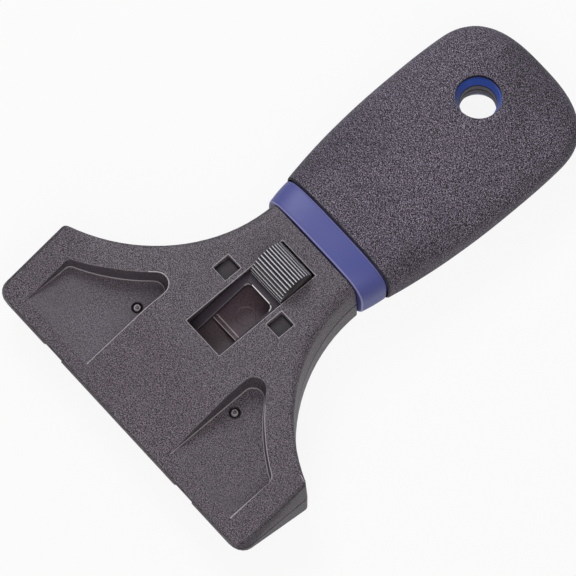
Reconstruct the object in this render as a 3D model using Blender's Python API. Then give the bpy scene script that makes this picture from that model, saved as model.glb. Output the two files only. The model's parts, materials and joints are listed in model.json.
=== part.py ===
"""Safety scraper: two moulded shells, a sliding blade with its thumb button, and a handle.

The model's own frame has X along the blade edge, Y from the mouth to the handle's end and
Z out of the front face, with the blade's plane at z = 0 and the front shell's edge at y = 0.
An empty carries that frame so that the part stands on its back, centred on the origin.
"""
import math

import bmesh
import bpy
from mathutils import Matrix, Vector

MM = 0.001

# Head and neck
HEAD_SIDE = 7.6 * MM
MOUTH_DEPTH = 4.4 * MM
NECK_DEPTH = 24.0 * MM
CREASE_RUN = 30.0 * MM
NECK_END = 84.2 * MM
NECK_WIDTH = 40.2 * MM
WAIST_RADIUS = 58.6 * MM
SIDE_FLARE = 0.8 * MM
FRONT_CORNER = 5.0 * MM
BACK_CORNER = 2.0 * MM
HEAD_EDGE = 1.2 * MM
NECK_EDGE = 4.6 * MM
REAR_EDGE = 1.6 * MM
MOUTH_EDGE_SHARE = 0.4
EDGE_STRETCH = 2.5
SHELL_WALL = 2.5 * MM
PARTING_GAP = 0.3 * MM
REAR_LIP = 0.3 * MM
NOTCH_WIDTH = 8.1 * MM
NOTCH_RUN = 1.0 * MM

# Pockets on both faces of the head
POCKET_INNER = 20.3 * MM
POCKET_BORDER = 9.6 * MM
POCKET_RIM = 9.9 * MM
POCKET_SKIN = 2.2 * MM
POCKET_TILT = 0.028
POCKET_CORNER = 2.5 * MM
POCKET_TIP = 3.9 * MM
POCKET_DRAFT = 0.05

# Thumb slot and latch windows
SLOT_WIDTH = 15.86 * MM
SLOT_BACK = 77.64 * MM
SLOT_MARGIN = 0.7 * MM
WINDOW_INNER = 9.9 * MM
WINDOW_WIDTH = 6.0 * MM
WINDOW_FRONT = 54.9 * MM
WINDOW_LENGTH = 6.55 * MM

# Snap latches inside the windows
LATCH_DEPTH = 4.0 * MM
LATCH_ARM = 2.8 * MM
LATCH_WIDTH = 4.0 * MM
LATCH_NOSE = 1.9 * MM
LATCH_NOSE_HEIGHT = 1.7 * MM
LATCH_NOSE_FLAT = 0.7 * MM
LEDGE_HEIGHT = 2.0 * MM

# Blade, carrier and clip
BLADE_WIDTH = 101.6 * MM
BLADE_DEPTH = 25.4 * MM
BLADE_THICKNESS = 0.6 * MM
BLADE_SETBACK = 1.6 * MM
BLADE_BEVEL = 2.2 * MM
BLADE_EDGE = 0.08 * MM
CARRIER_THICKNESS = 0.8 * MM
CARRIER_INSET = 3.8 * MM
CARRIER_STICKOUT = 6.0 * MM
CARRIER_TONGUE = 11.4 * MM
CLIP_INSET = 8.8 * MM
CLIP_DEPTH = 15.0 * MM
CLIP_THICKNESS = 0.6 * MM
CLIP_RIVET_INSET = 19.05 * MM
CLIP_RIVET_SHANK = 3.2 * MM
CLIP_RIVET_HEAD = 6.4 * MM
CLIP_RIVET_RISE = 0.6 * MM
SHEET_CORNER = 2.0 * MM

# Slide: yoke, button, spring and track
TRAVEL = 26.0 * MM
RAIL_WIDTH = 3.3 * MM
YOKE_HEADROOM = 1.4 * MM
YOKE_OVERLAP = 0.7 * MM
YOKE_PLATE = 2.4 * MM
YOKE_BRIDGE = 2.5 * MM
YOKE_FOOT_TOP = 2.3 * MM
YOKE_FOOT = 6.6 * MM
YOKE_FOOT_HEEL = 0.6 * MM
YOKE_WINDOW_CORNER = 1.7 * MM
YOKE_RIVET_SHANK = 1.8 * MM
YOKE_RIVET_HEAD = 3.0 * MM
YOKE_RIVET_RISE = 0.6 * MM
YOKE_RIVET_GRIP = 1.3 * MM
TUNNEL_ROOF = 1.6 * MM
TUNNEL_WALL = 1.7 * MM
TUNNEL_START = 3.0 * MM
BUTTON_LENGTH = 13.3 * MM
BUTTON_OVERRUN = 0.1 * MM
BUTTON_GAP = 1.0 * MM
BUTTON_AXIS_DROP = 0.6 * MM
BUTTON_RIB_COUNT = 11
BUTTON_RIB_DEPTH = 0.45 * MM
RIB_START = 0.3
RIB_END = 0.75
BUTTON_SCREW_SHANK = 2.4 * MM
BUTTON_SCREW_HEAD = 4.4 * MM
BUTTON_SCREW_HEAD_HEIGHT = 1.5 * MM
BUTTON_SCREW_BITE = 5.0 * MM
SPRING_WIDTH = 6.0 * MM
SPRING_THICKNESS = 0.3 * MM
SPRING_BASE = 4.6 * MM
SPRING_BUMP_RADIUS = 1.4 * MM
SPRING_TIP_RISE = 0.8 * MM
SPRING_RIVET_SHANK = 1.6 * MM
SPRING_RIVET_HEAD = 2.8 * MM
SPRING_RIVET_RISE = 0.7 * MM
TRACK_TOP = 1.25 * MM
TRACK_STEP = 2.95 * MM
TRACK_LIP_FRONT = 46.7 * MM
TRACK_LIP_WIDTH = 1.6 * MM
TRACK_LIP_HEIGHT = 0.3 * MM
TRACK_THICKNESS = 2.0 * MM
TRACK_RIB = 2.0 * MM
MARK_DIAMETER = 6.4 * MM
MARK_DEPTH = 0.2 * MM
MARK_SETBACK = 8.1 * MM

# Fasteners of the shells
PIN_INSET = 3.4 * MM
PIN_SETBACK = 1.7 * MM
PIN_DIAMETER = 2.5 * MM
PIN_PROUD = 0.2 * MM
PIN_CROWN = 0.3 * MM
SCREW_SPREAD = 29.4 * MM
SCREW_STATION = 70.0 * MM
SCREW_SHANK = 2.4 * MM
SCREW_HEAD = 5.2 * MM
SCREW_HEAD_HEIGHT = 1.8 * MM
SCREW_BITE = 6.0 * MM
SCREW_SINK = 1.2 * MM
BOSS_DIAMETER = 6.6 * MM
DRIVE_WIDTH = 0.8 * MM
DRIVE_DEPTH = 0.7 * MM
DRIVE_SHARE = 0.6
CROWN_SHARE = 0.8
CROWN_RISE = 0.5
POINT_SHARE = 0.4

# Handle
HANDLE_END = 183.3 * MM
COLLAR_LENGTH = 9.5 * MM
COLLAR_FRONT_WIDTH = 45.8 * MM
COLLAR_BACK_WIDTH = 48.6 * MM
COLLAR_DEPTH = 26.0 * MM
COLLAR_EDGE = 0.8 * MM
GRIP_FRONT_WIDTH = 49.8 * MM
GRIP_WIDTH = 60.0 * MM
GRIP_END_WIDTH = 54.6 * MM
GRIP_WIDEST = 56.0 * MM
GRIP_FRONT_DEPTH = 26.6 * MM
GRIP_END_DEPTH = 15.2 * MM
GRIP_END_ROUND = 20.0 * MM
GRIP_TIP_ROUND = 8.0 * MM
GRIP_SKIN = 1.6 * MM
GRIP_EDGE = 0.5 * MM
TANG_WIDTH = 24.0 * MM
TANG_DEPTH = 6.9 * MM
TANG_END_MARGIN = 12.5 * MM
TANG_ROOT = 2.0 * MM
HOLE_MARGIN = 24.85 * MM
HOLE_OFFSET = -3.9 * MM
HOLE_DIAMETER = 15.3 * MM
CORE_HOLE_DIAMETER = 14.4 * MM
TANG_HOLE_DIAMETER = 12.2 * MM

# Clearances
SEAT = 0.3 * MM
RUNNING = 0.4 * MM
SHEET_GAP = 0.05 * MM
FASTENER_GAP = 0.2 * MM
PAST = 1.0 * MM

# Section shapes and facet counts
COLLAR_SQUARENESS = 3.4
GRIP_SQUARENESS = 2.6
PLAN_ROUNDNESS = 2.8
TIP_ROUNDNESS = 2.4
GRIP_SWELL = 2.4
HANDLE_SIDES = 32
EDGE_FACETS = 4
CORNER_FACETS = 5
WAIST_FACETS = 20
POCKET_FACETS = 7
TIP_FACETS = 7
CHAMBER_STOPS = 8
GRIP_STOPS = 9
SPRING_FACETS = 8
SLOPE_STEP = 0.05 * MM
ROUND_SIDES = 24
SMALL_SIDES = 16
SMOOTH_ANGLE = math.radians(32)

# Places that follow from the sizes above
BAY_WIDTH = BLADE_WIDTH + 2 * RUNNING
HEAD_HALF = BAY_WIDTH / 2 + HEAD_SIDE
POCKET_OUTER = HEAD_HALF - POCKET_BORDER
WAIST_X = NECK_WIDTH / 2 + WAIST_RADIUS
BLADE_FRONT = BLADE_SETBACK
BLADE_BACK = BLADE_FRONT + BLADE_DEPTH
BLADE_HALF = BLADE_THICKNESS / 2
CARRIER_HALF = BLADE_WIDTH / 2 - CARRIER_INSET
CARRIER_BOTTOM = BLADE_HALF + SHEET_GAP
CARRIER_TOP = CARRIER_BOTTOM + CARRIER_THICKNESS
CARRIER_FRONT = BLADE_FRONT + CARRIER_STICKOUT
CARRIER_BACK = BLADE_BACK + FASTENER_GAP
TONGUE_BACK = CARRIER_BACK + CARRIER_TONGUE
CLIP_HALF = BLADE_WIDTH / 2 - CLIP_INSET
CLIP_RIVET_X = BLADE_WIDTH / 2 - CLIP_RIVET_INSET
CLIP_TOP = -BLADE_HALF - SHEET_GAP
CLIP_BOTTOM = CLIP_TOP - CLIP_THICKNESS
CLIP_MIDDLE = BLADE_FRONT + BLADE_DEPTH / 2
BAY_HALF = max(CARRIER_TOP, -CLIP_BOTTOM) + FASTENER_GAP
BAY_BACK = CARRIER_BACK + RUNNING
PIN_X = POCKET_INNER + PIN_INSET
PIN_STATION = BAY_BACK + PIN_SETBACK
RIVET_HEAD_BOTTOM = CLIP_BOTTOM - SHEET_GAP - CLIP_RIVET_RISE
GROOVE_BOTTOM = RIVET_HEAD_BOTTOM - FASTENER_GAP
BUTTON_BACK = SLOT_BACK - BUTTON_GAP
BUTTON_FRONT = BUTTON_BACK - BUTTON_LENGTH
SLOT_FRONT = BUTTON_FRONT - TRAVEL - SLOT_MARGIN
YOKE_TOP = NECK_DEPTH / 2 - TUNNEL_ROOF - YOKE_HEADROOM
BUTTON_WIDTH = SLOT_WIDTH - 3 * RUNNING
BUTTON_BOTTOM = YOKE_TOP + SHEET_GAP
BUTTON_RADIUS = BUTTON_LENGTH / 2 + BUTTON_OVERRUN
BUTTON_CENTRE = BUTTON_FRONT + BUTTON_RADIUS
BUTTON_ARC_HEIGHT = NECK_DEPTH / 2 - BUTTON_AXIS_DROP
YOKE_HALF = SLOT_WIDTH / 2 + YOKE_OVERLAP
YOKE_BACK = BUTTON_BACK + YOKE_OVERLAP
YOKE_WINDOW_BACK = BUTTON_FRONT - YOKE_BRIDGE
YOKE_FOOT_BOTTOM = CARRIER_TOP + SHEET_GAP
YOKE_FRONT = TONGUE_BACK - YOKE_FOOT
YOKE_PLATE_BOTTOM = YOKE_TOP - YOKE_PLATE
RAIL_MIDDLE = YOKE_HALF - RAIL_WIDTH / 2
YOKE_RIVET_STATION = YOKE_FRONT + YOKE_FOOT / 2
TUNNEL_HALF = YOKE_HALF + RUNNING
TUNNEL_BACK = NECK_END - SHELL_WALL
TRACK_BACK = TUNNEL_BACK - SEAT
TRACK_FRONT = TONGUE_BACK - YOKE_FOOT
TRACK_HALF = TUNNEL_HALF - SEAT
SPRING_TOP = YOKE_PLATE_BOTTOM - SHEET_GAP
SPRING_FRONT = BUTTON_FRONT + SEAT
SPRING_RIVET_STATION = SPRING_FRONT + SPRING_BASE / 2
SPRING_RIVET_TOP = YOKE_TOP - RUNNING - SEAT
SPRING_REST = -TRACK_TOP + TRACK_LIP_HEIGHT + SEAT
BUTTON_SCREW_STATION = SPRING_FRONT + SPRING_BASE + BUTTON_SCREW_HEAD / 2 + PAST
FLOOR_DEPTH = NECK_DEPTH / 2 - SHELL_WALL
COLLAR_FRONT = NECK_END + SEAT
COLLAR_BACK = COLLAR_FRONT + COLLAR_LENGTH
GRIP_FRONT = COLLAR_BACK + SEAT
TANG_END = HANDLE_END - TANG_END_MARGIN
HOLE_STATION = HANDLE_END - HOLE_MARGIN
FRAME_STATION = (HANDLE_END - REAR_LIP) / 2
FRAME_HEIGHT = GRIP_FRONT_DEPTH / 2
SLIDE_ORIGIN = (0.0, BUTTON_CENTRE, 0.0)
SIDES = (("left", -1), ("right", 1))


def clear_scene():
    for thing in list(bpy.data.objects):
        bpy.data.objects.remove(thing, do_unlink=True)


def add_material(name, colour, roughness, metallic=0.0):
    material = bpy.data.materials.new(name)
    material.use_nodes = True
    shader = material.node_tree.nodes["Principled BSDF"]
    shader.inputs["Base Color"].default_value = (*colour, 1.0)
    shader.inputs["Roughness"].default_value = roughness
    shader.inputs["Metallic"].default_value = metallic
    return material


def add_empty(name, place, parent=None):
    empty = bpy.data.objects.new(name, None)
    bpy.context.collection.objects.link(empty)
    empty.parent = parent
    empty.location = place
    return empty


def add_object(name, bm, parent, origin=(0, 0, 0)):
    """Make an object under a parent; its mesh is in the model's frame, its origin at the given place."""
    bmesh.ops.recalc_face_normals(bm, faces=bm.faces)
    bmesh.ops.transform(bm, matrix=Matrix.Translation(-Vector(origin)), verts=bm.verts)
    mesh = bpy.data.meshes.new(name)
    bm.to_mesh(mesh)
    bm.free()
    mesh.shade_smooth()
    mesh.set_sharp_from_angle(angle=SMOOTH_ANGLE)
    thing = bpy.data.objects.new(name, mesh)
    bpy.context.collection.objects.link(thing)
    thing.parent = parent
    return thing


def boolean(target, name, bm, operation, origin=(0, 0, 0)):
    """Cut a shape out of the target, or join it on, with a tool object that isn't a sub-part."""
    tool = add_object(target.name + "_" + name, bm, target.parent, origin)
    tool.hide_render = True
    tool.display_type = "WIRE"
    modifier = target.modifiers.new(name, "BOOLEAN")
    modifier.object = tool
    modifier.operation = operation
    modifier.solver = "EXACT"


def cut(target, name, bm, origin=(0, 0, 0)):
    boolean(target, name, bm, "DIFFERENCE", origin)


def join(target, name, bm, origin=(0, 0, 0)):
    boolean(target, name, bm, "UNION", origin)


def loft(rings):
    """Skin closed rings of equal length in order and cap both ends; a ring of one point is a pole."""
    bm = bmesh.new()
    loops = [[bm.verts.new(point) for point in ring] for ring in rings]
    for first, second in zip(loops, loops[1:]):
        count = max(len(first), len(second))
        for i in range(count):
            j = (i + 1) % count
            corners = [first[i % len(first)], first[j % len(first)]]
            corners += [second[j % len(second)], second[i % len(second)]]
            bm.faces.new(list(dict.fromkeys(corners)))
    for ends in (loops[0], loops[-1]):
        if len(ends) > 2:
            bm.faces.new(ends)
    return bm


def prism_z(outline, low, high):
    return loft([[(x, y, z) for x, y in outline] for z in (low, high)])


def prism_x(profile, half):
    return loft([[(x, y, z) for y, z in profile] for x in (-half, half)])


def box(x_range, y_range, z_range):
    (left, right), (front, back) = x_range, y_range
    return prism_z([(left, front), (right, front), (right, back), (left, back)], *z_range)


def circle(x, y, radius, z, sides):
    angles = [2 * math.pi * i / sides for i in range(sides)]
    return [(x + radius * math.cos(a), y + radius * math.sin(a), z) for a in angles]


def turned(x, y, steps, sides):
    """Turn a stack of (radius, height) steps about a line along Z."""
    return loft([circle(x, y, radius, z, sides) for radius, z in steps])


def drill(target, name, place, shank, low, high, origin=(0, 0, 0)):
    """A clearance hole for a fastener's shank."""
    hole = [(shank / 2 + FASTENER_GAP, z) for z in (low, high)]
    cut(target, name, turned(*place, hole, SMALL_SIDES), origin)


def fastener_steps(head, shank, low, seat, end):
    """A crowned head from low to seat and a plain shank up to its end, as steps to turn."""
    crown = low + (seat - low) * CROWN_RISE
    wide = head / 2
    steps = [(wide * CROWN_SHARE, low), (wide, crown), (wide, seat)]
    return steps + [(shank / 2, seat), (shank / 2, end)]


def rounded(corners, facets=EDGE_FACETS):
    """Round an outline's corners, each given as (point, radius); a radius of 0 stays sharp."""
    outline = []
    for i, (point, radius) in enumerate(corners):
        here = Vector(point)
        before = (Vector(corners[i - 1][0]) - here).normalized()
        after = (Vector(corners[(i + 1) % len(corners)][0]) - here).normalized()
        if radius == 0:
            outline.append(tuple(here))
            continue
        half = before.angle(after) / 2
        reach = radius / math.tan(half)
        middle = here + (before + after).normalized() * radius / math.sin(half)
        start = here + before * reach - middle
        turn = start.angle_signed(here + after * reach - middle)
        for k in range(facets + 1):
            outline.append(tuple(middle + Matrix.Rotation(-turn * k / facets, 2) @ start))
    return outline


def blend(value):
    """Ease from 0 to 1."""
    value = min(max(value, 0.0), 1.0)
    return value * value * (3 - 2 * value)


def corner_centre():
    """The station of the rounding between the head's straight side and its waist."""
    reach = WAIST_X - HEAD_HALF + BACK_CORNER
    return NECK_END - math.sqrt((WAIST_RADIUS + BACK_CORNER) ** 2 - reach ** 2)


def waist_start():
    """The station where the waist's arc takes over from the rounded back corner."""
    middle = Vector((HEAD_HALF - BACK_CORNER, corner_centre()))
    to_waist = Vector((WAIST_X, NECK_END)) - middle
    return (middle + to_waist.normalized() * BACK_CORNER).y


def half_width(y, front):
    if y < front + FRONT_CORNER:
        into = min(front + FRONT_CORNER - y, FRONT_CORNER)
        return HEAD_HALF - FRONT_CORNER + math.sqrt(FRONT_CORNER ** 2 - into ** 2)
    if y < corner_centre():
        return HEAD_HALF
    if y < waist_start():
        return HEAD_HALF - BACK_CORNER + math.sqrt(BACK_CORNER ** 2 - (y - corner_centre()) ** 2)
    return WAIST_X - math.sqrt(WAIST_RADIUS ** 2 - (y - NECK_END) ** 2)


def half_depth(y):
    rise = min(max(y / CREASE_RUN, 0.0), 1.0)
    return MOUTH_DEPTH / 2 + (NECK_DEPTH - MOUTH_DEPTH) / 2 * rise


def shell_stations(front):
    turns = [math.pi / 2 * k / CORNER_FACETS for k in range(CORNER_FACETS + 1)]
    corner = [front + FRONT_CORNER * (1 - math.cos(turn)) for turn in turns]
    run = waist_start() - corner_centre()
    back = [corner_centre() + run * k / EDGE_FACETS for k in range(EDGE_FACETS)]
    start = math.asin((NECK_END - waist_start()) / WAIST_RADIUS)
    angles = [start * k / WAIST_FACETS for k in range(WAIST_FACETS + 1)]
    waist = [NECK_END - WAIST_RADIUS * math.sin(angle) for angle in angles]
    return sorted(set(corner + back + waist + [CREASE_RUN]))


def shell_ring(y, front, side, neck_edge, spread):
    """One section of a shell: wall, rounded edge and flat face, on one side of the parting plane."""
    width = half_width(y, front) + spread
    before = half_width(max(y - SLOPE_STEP, front), front)
    slope = (half_width(y + SLOPE_STEP, front) - before) / (2 * SLOPE_STEP)
    share = blend((y - CREASE_RUN) / (SLOT_BACK - CREASE_RUN))
    edge = HEAD_EDGE + (neck_edge - HEAD_EDGE) * share
    across = edge * min(math.hypot(1, slope), EDGE_STRETCH)
    height = half_depth(y)
    down = min(edge, MOUTH_EDGE_SHARE * height)
    right = [(half_width(y, front) + SIDE_FLARE, PARTING_GAP / 2)]
    for k in range(EDGE_FACETS + 1):
        angle = math.pi / 2 * k / EDGE_FACETS
        right.append((width - across * (1 - math.cos(angle)), height - down * (1 - math.sin(angle))))
    points = right + [(-x, z) for x, z in reversed(right)]
    return [(x, y, side * z) for x, z in points]


def shell_body(front, side, neck_edge, spread):
    return loft([shell_ring(y, front, side, neck_edge, spread) for y in shell_stations(front)])


def channel(stops, roof, side):
    """A hollow along Y that opens at the parting plane and keeps a roof under the outer face."""
    rings = []
    for y, inner, outer in stops:
        high = side * (half_depth(y) - roof)
        low = -side * PAST
        rings.append([(inner, y, low), (outer, y, low), (outer, y, high), (inner, y, high)])
    return loft(rings)


def chamber_stops(sign):
    """The hollow beside the tunnel, narrow between the pockets and following the waist behind them."""
    inner = TUNNEL_HALF + TUNNEL_WALL
    narrow = POCKET_INNER - SHELL_WALL
    behind = pocket_arc(POCKET_INNER) + SHELL_WALL
    stops = [(BAY_BACK + SHELL_WALL, narrow), (behind, narrow)]
    for k in range(CHAMBER_STOPS + 1):
        y = behind + PAST + (TUNNEL_BACK - behind - PAST) * k / CHAMBER_STOPS
        stops.append((y, half_width(y, 0) - SHELL_WALL))
    return [(y, sign * inner, sign * outer) for y, outer in stops]


def pocket_arc(x):
    """The pocket's back edge runs a constant rim inside the waist."""
    radius = WAIST_RADIUS + POCKET_RIM
    return NECK_END - math.sqrt(radius ** 2 - (WAIST_X - x) ** 2)


def pocket_floor(y):
    return BAY_HALF + POCKET_SKIN + POCKET_TILT * y


def tip_centre(inner, grow):
    """The middle of the rounding between the pocket's inner side and its back edge."""
    across = WAIST_X - inner - POCKET_TIP
    away = WAIST_RADIUS + POCKET_RIM + POCKET_TIP
    return Vector((inner + POCKET_TIP, NECK_END + grow - math.sqrt(away ** 2 - across ** 2)))


def pocket_outline(grow):
    inner = POCKET_INNER - grow
    outer = POCKET_OUTER + grow
    tip = tip_centre(inner, grow)
    start = math.atan2(NECK_END + grow - tip.y, WAIST_X - tip.x)
    meet = tip.x + POCKET_TIP * math.cos(start)
    corners = [((inner, -PAST), 0), ((outer, -PAST), 0)]
    for k in range(POCKET_FACETS):
        x = outer + (meet - outer) * k / POCKET_FACETS
        corners.append(((x, pocket_arc(x) + grow), 0 if k else POCKET_CORNER))
    for k in range(TIP_FACETS + 1):
        angle = start + (math.pi - start) * k / TIP_FACETS
        corners.append(((tip.x + POCKET_TIP * math.cos(angle), tip.y + POCKET_TIP * math.sin(angle)), 0))
    return rounded(corners)


def pocket(sign, side):
    """A pocket's cutter, with a nearly level floor and slightly drafted walls."""
    low = [(sign * x, y, side * pocket_floor(y)) for x, y in pocket_outline(0)]
    top = NECK_DEPTH / 2 + PAST
    high = [(sign * x, y, side * top) for x, y in pocket_outline(POCKET_DRAFT * (top - BAY_HALF))]
    return loft([low, high])


def tang_outline(half, start, end):
    corners = [((-half, start), 0), ((half, start), 0), ((half, end), half / 2), ((-half, end), half / 2)]
    return rounded(corners)


def tang_half(side):
    outline = tang_outline(TANG_WIDTH / 2, NECK_END - TANG_ROOT, TANG_END)
    return prism_z(outline, side * PARTING_GAP / 2, side * TANG_DEPTH / 2)


def shell(name, front, side, neck_edge, spread, material, parent):
    """What both shells share: the outer body, its tang, and the hollows for the blade and the slide."""
    body = add_object(name, shell_body(front, side, neck_edge, spread), parent)
    body.data.materials.append(material)
    join(body, "tang", tang_half(side))
    bay = (-BAY_WIDTH / 2, BAY_WIDTH / 2)
    cut(body, "bay", box(bay, (front - PAST, BAY_BACK), sorted((-side * PAST, side * BAY_HALF))))
    for label, sign in SIDES:
        cut(body, "pocket_" + label, pocket(sign, side))
        cut(body, "chamber_" + label, channel(chamber_stops(sign), SHELL_WALL, side))
        pin_hole = [(PIN_DIAMETER / 2 + SEAT, z) for z in (-NECK_DEPTH, NECK_DEPTH)]
        cut(body, "pin_hole_" + label, turned(sign * PIN_X, PIN_STATION, pin_hole, SMALL_SIDES))
    cut(body, "hang_hole", hang_bore(TANG_HOLE_DIAMETER))
    return body


def front_shell(material, parent):
    body = shell("front_shell", 0.0, 1, NECK_EDGE, 0.0, material, parent)
    half = TUNNEL_HALF
    stops = [(y, -half, half) for y in (TUNNEL_START, CREASE_RUN, TUNNEL_BACK)]
    cut(body, "tunnel", channel(stops, TUNNEL_ROOF, 1))
    above = (FLOOR_DEPTH - 2 * SEAT, NECK_DEPTH / 2 + PAST)
    cut(body, "slot", box((-SLOT_WIDTH / 2, SLOT_WIDTH / 2), (SLOT_FRONT, SLOT_BACK), above))
    window_back = WINDOW_FRONT + WINDOW_LENGTH
    ledge_top = latch_top() - LATCH_NOSE_HEIGHT - SEAT
    ledge_z = (ledge_top - LEDGE_HEIGHT, ledge_top)
    for label, sign in SIDES:
        window_x = sorted((sign * WINDOW_INNER, sign * (WINDOW_INNER + WINDOW_WIDTH)))
        cut(body, "window_" + label, box(window_x, (WINDOW_FRONT, window_back), above))
        place = (sign * SCREW_SPREAD / 2, SCREW_STATION)
        boss = [(BOSS_DIAMETER / 2, z) for z in (PARTING_GAP / 2, FLOOR_DEPTH + SEAT)]
        join(body, "boss_" + label, turned(*place, boss, SMALL_SIDES))
        drill(body, "pilot_" + label, place, SCREW_SHANK, -PAST, SCREW_BITE + SEAT)
        ledge_x = sorted((sign * (TUNNEL_HALF + TUNNEL_WALL / 2), sign * (latch_outer() + PAST)))
        join(body, "ledge_" + label, box(ledge_x, (latch_back() + SEAT, window_back), ledge_z))
        brace_x = sorted((sign * (latch_outer() + SEAT), sign * (latch_outer() + SEAT + TUNNEL_WALL)))
        brace_z = (ledge_z[0], FLOOR_DEPTH + SEAT)
        join(body, "brace_" + label, box(brace_x, (window_back - SHELL_WALL, window_back), brace_z))
    return body


def latch_inner():
    return WINDOW_INNER + (WINDOW_WIDTH - LATCH_WIDTH) / 2 + RUNNING


def latch_outer():
    return latch_inner() + LATCH_WIDTH


def latch_back():
    return WINDOW_FRONT + RUNNING + LATCH_ARM


def latch_top():
    return NECK_DEPTH / 2 - LATCH_DEPTH


def latch(sign):
    """A snap arm from the rear shell's floor, with a nose over the front shell's ledge."""
    start = WINDOW_FRONT + RUNNING
    back = latch_back()
    top = latch_top()
    tip = back + LATCH_NOSE
    catch = top - LATCH_NOSE_HEIGHT
    profile = [(start, -FLOOR_DEPTH - SEAT), (back, -FLOOR_DEPTH - SEAT), (back, catch), (tip, catch)]
    profile += [(tip, catch + LATCH_NOSE_FLAT), (back, top), (start, top)]
    inner = sign * latch_inner()
    outer = sign * latch_outer()
    return loft([[(x, y, z) for y, z in profile] for x in (inner, outer)])


def track_profile():
    """The slide track from the side: its stepped top from back to front."""
    low = -TRACK_TOP - TRACK_STEP
    lip_back = TRACK_LIP_FRONT + TRACK_LIP_WIDTH
    lip = -TRACK_TOP + TRACK_LIP_HEIGHT
    top = [(TRACK_BACK, -TRACK_TOP), (lip_back, -TRACK_TOP), (lip_back, lip), (TRACK_LIP_FRONT, lip)]
    return top + [(TRACK_LIP_FRONT, low), (TRACK_FRONT, low)]


def track_underside():
    """The track's stepped underside from front to back."""
    low = -TRACK_TOP - TRACK_STEP - TRACK_THICKNESS
    step = TRACK_LIP_FRONT + TRACK_THICKNESS
    high = -TRACK_TOP - TRACK_THICKNESS
    return [(TRACK_FRONT, low), (step, low), (step, high), (TRACK_BACK, high)]


def rear_shell(material, parent):
    body = shell("rear_shell", -REAR_LIP, -1, REAR_EDGE, SIDE_FLARE, material, parent)
    half = TUNNEL_HALF
    stops = [(y, -half, half) for y in (BAY_BACK / 2, CREASE_RUN, TUNNEL_BACK)]
    cut(body, "tunnel", channel(stops, SHELL_WALL, -1))
    floor = -FLOOR_DEPTH - SEAT
    before = -REAR_LIP - PAST
    rib_profile = [(y, z - SEAT) for y, z in track_underside()]
    rib_profile += [(TRACK_BACK, floor), (TRACK_FRONT, floor)]
    for label, sign in SIDES:
        x = sign * CLIP_RIVET_X
        notch_x = (x - NOTCH_WIDTH / 2, x + NOTCH_WIDTH / 2)
        cut(body, "notch_" + label, box(notch_x, (before, NOTCH_RUN - REAR_LIP), (-NECK_DEPTH, PAST)))
        groove_y = (before, CLIP_MIDDLE + NOTCH_WIDTH / 2)
        cut(body, "groove_" + label, box(notch_x, groove_y, (GROOVE_BOTTOM, PAST)))
        place = (sign * SCREW_SPREAD / 2, SCREW_STATION)
        boss = [(BOSS_DIAMETER / 2, z) for z in (floor, -PARTING_GAP / 2)]
        join(body, "boss_" + label, turned(*place, boss, SMALL_SIDES))
        drill(body, "shank_" + label, place, SCREW_SHANK, -NECK_DEPTH, PAST)
        sink = [(SCREW_HEAD / 2 + SEAT, z) for z in (-NECK_DEPTH, screw_seat())]
        cut(body, "sink_" + label, turned(*place, sink, SMALL_SIDES))
        join(body, "latch_" + label, latch(sign))
        rib_x = sorted((sign * TRACK_HALF, sign * (TRACK_HALF - TRACK_RIB)))
        join(body, "rib_" + label, loft([[(rib, y, z) for y, z in rib_profile] for rib in rib_x]))
    return body


def screw_seat():
    """The height where the shell screws' heads bear, inside the counterbores."""
    return -NECK_DEPTH / 2 + SCREW_SINK + SCREW_HEAD_HEIGHT


def slide_track(material, parent):
    profile = track_profile() + track_underside()
    track = add_object("slide_track", prism_x(profile, TRACK_HALF), parent)
    track.data.materials.append(material)
    mark = [(MARK_DIAMETER / 2, z) for z in (-TRACK_TOP - MARK_DEPTH, PAST)]
    cut(track, "mould_mark", turned(0, TRACK_LIP_FRONT + MARK_SETBACK, mark, ROUND_SIDES))


def add_screw(name, place, head, shank, low, seat, tip, material, parent, origin=(0, 0, 0)):
    """A turned screw with a blunt point and a cross recess in its head."""
    steps = fastener_steps(head, shank, low, seat, tip - shank / 2)
    steps.append((shank / 2 * POINT_SHARE, tip))
    screw = add_object(name, turned(*place, steps, SMALL_SIDES), parent, origin)
    screw.data.materials.append(material)
    arm = head / 2 * DRIVE_SHARE
    half = DRIVE_WIDTH / 2
    plus = [(half, half), (half, arm), (-half, arm), (-half, half), (-arm, half), (-arm, -half)]
    plus += [(-half, -half), (-half, -arm), (half, -arm), (half, -half), (arm, -half), (arm, half)]
    outline = [(place[0] + u, place[1] + v) for u, v in plus]
    cut(screw, "drive", prism_z(outline, low - PAST, low + DRIVE_DEPTH), origin)


def shell_fasteners(steel, pin_material, parent):
    reach = pocket_floor(PIN_STATION) + PIN_PROUD
    radius = PIN_DIAMETER / 2
    crown = reach - PIN_CROWN
    tip = radius * CROWN_SHARE
    steps = [(tip, -reach), (radius, -crown), (radius, crown), (tip, reach)]
    seat = screw_seat() - SHEET_GAP
    low = seat - SCREW_HEAD_HEIGHT
    for label, sign in SIDES:
        pin = turned(sign * PIN_X, PIN_STATION, steps, SMALL_SIDES)
        add_object("head_pin_" + label, pin, parent).data.materials.append(pin_material)
        place = (sign * SCREW_SPREAD / 2, SCREW_STATION)
        sizes = (SCREW_HEAD, SCREW_SHANK, low, seat, SCREW_BITE)
        add_screw("shell_screw_" + label, place, *sizes, steel, parent)


def section(y, width, depth, squareness):
    """A rounded section of the handle, as a superellipse of the given half sizes."""
    ring = []
    for i in range(HANDLE_SIDES):
        angle = 2 * math.pi * i / HANDLE_SIDES
        cosine = math.cos(angle)
        sine = math.sin(angle)
        x = math.copysign(abs(cosine) ** (2 / squareness), cosine) * width
        z = math.copysign(abs(sine) ** (2 / squareness), sine) * depth
        ring.append((x, y, z))
    return ring


def end_round(y, end, length, power):
    share = min(max((y - end + length) / length, 0.0), 1.0)
    return (1 - share ** power) ** (1 / power)


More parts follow.
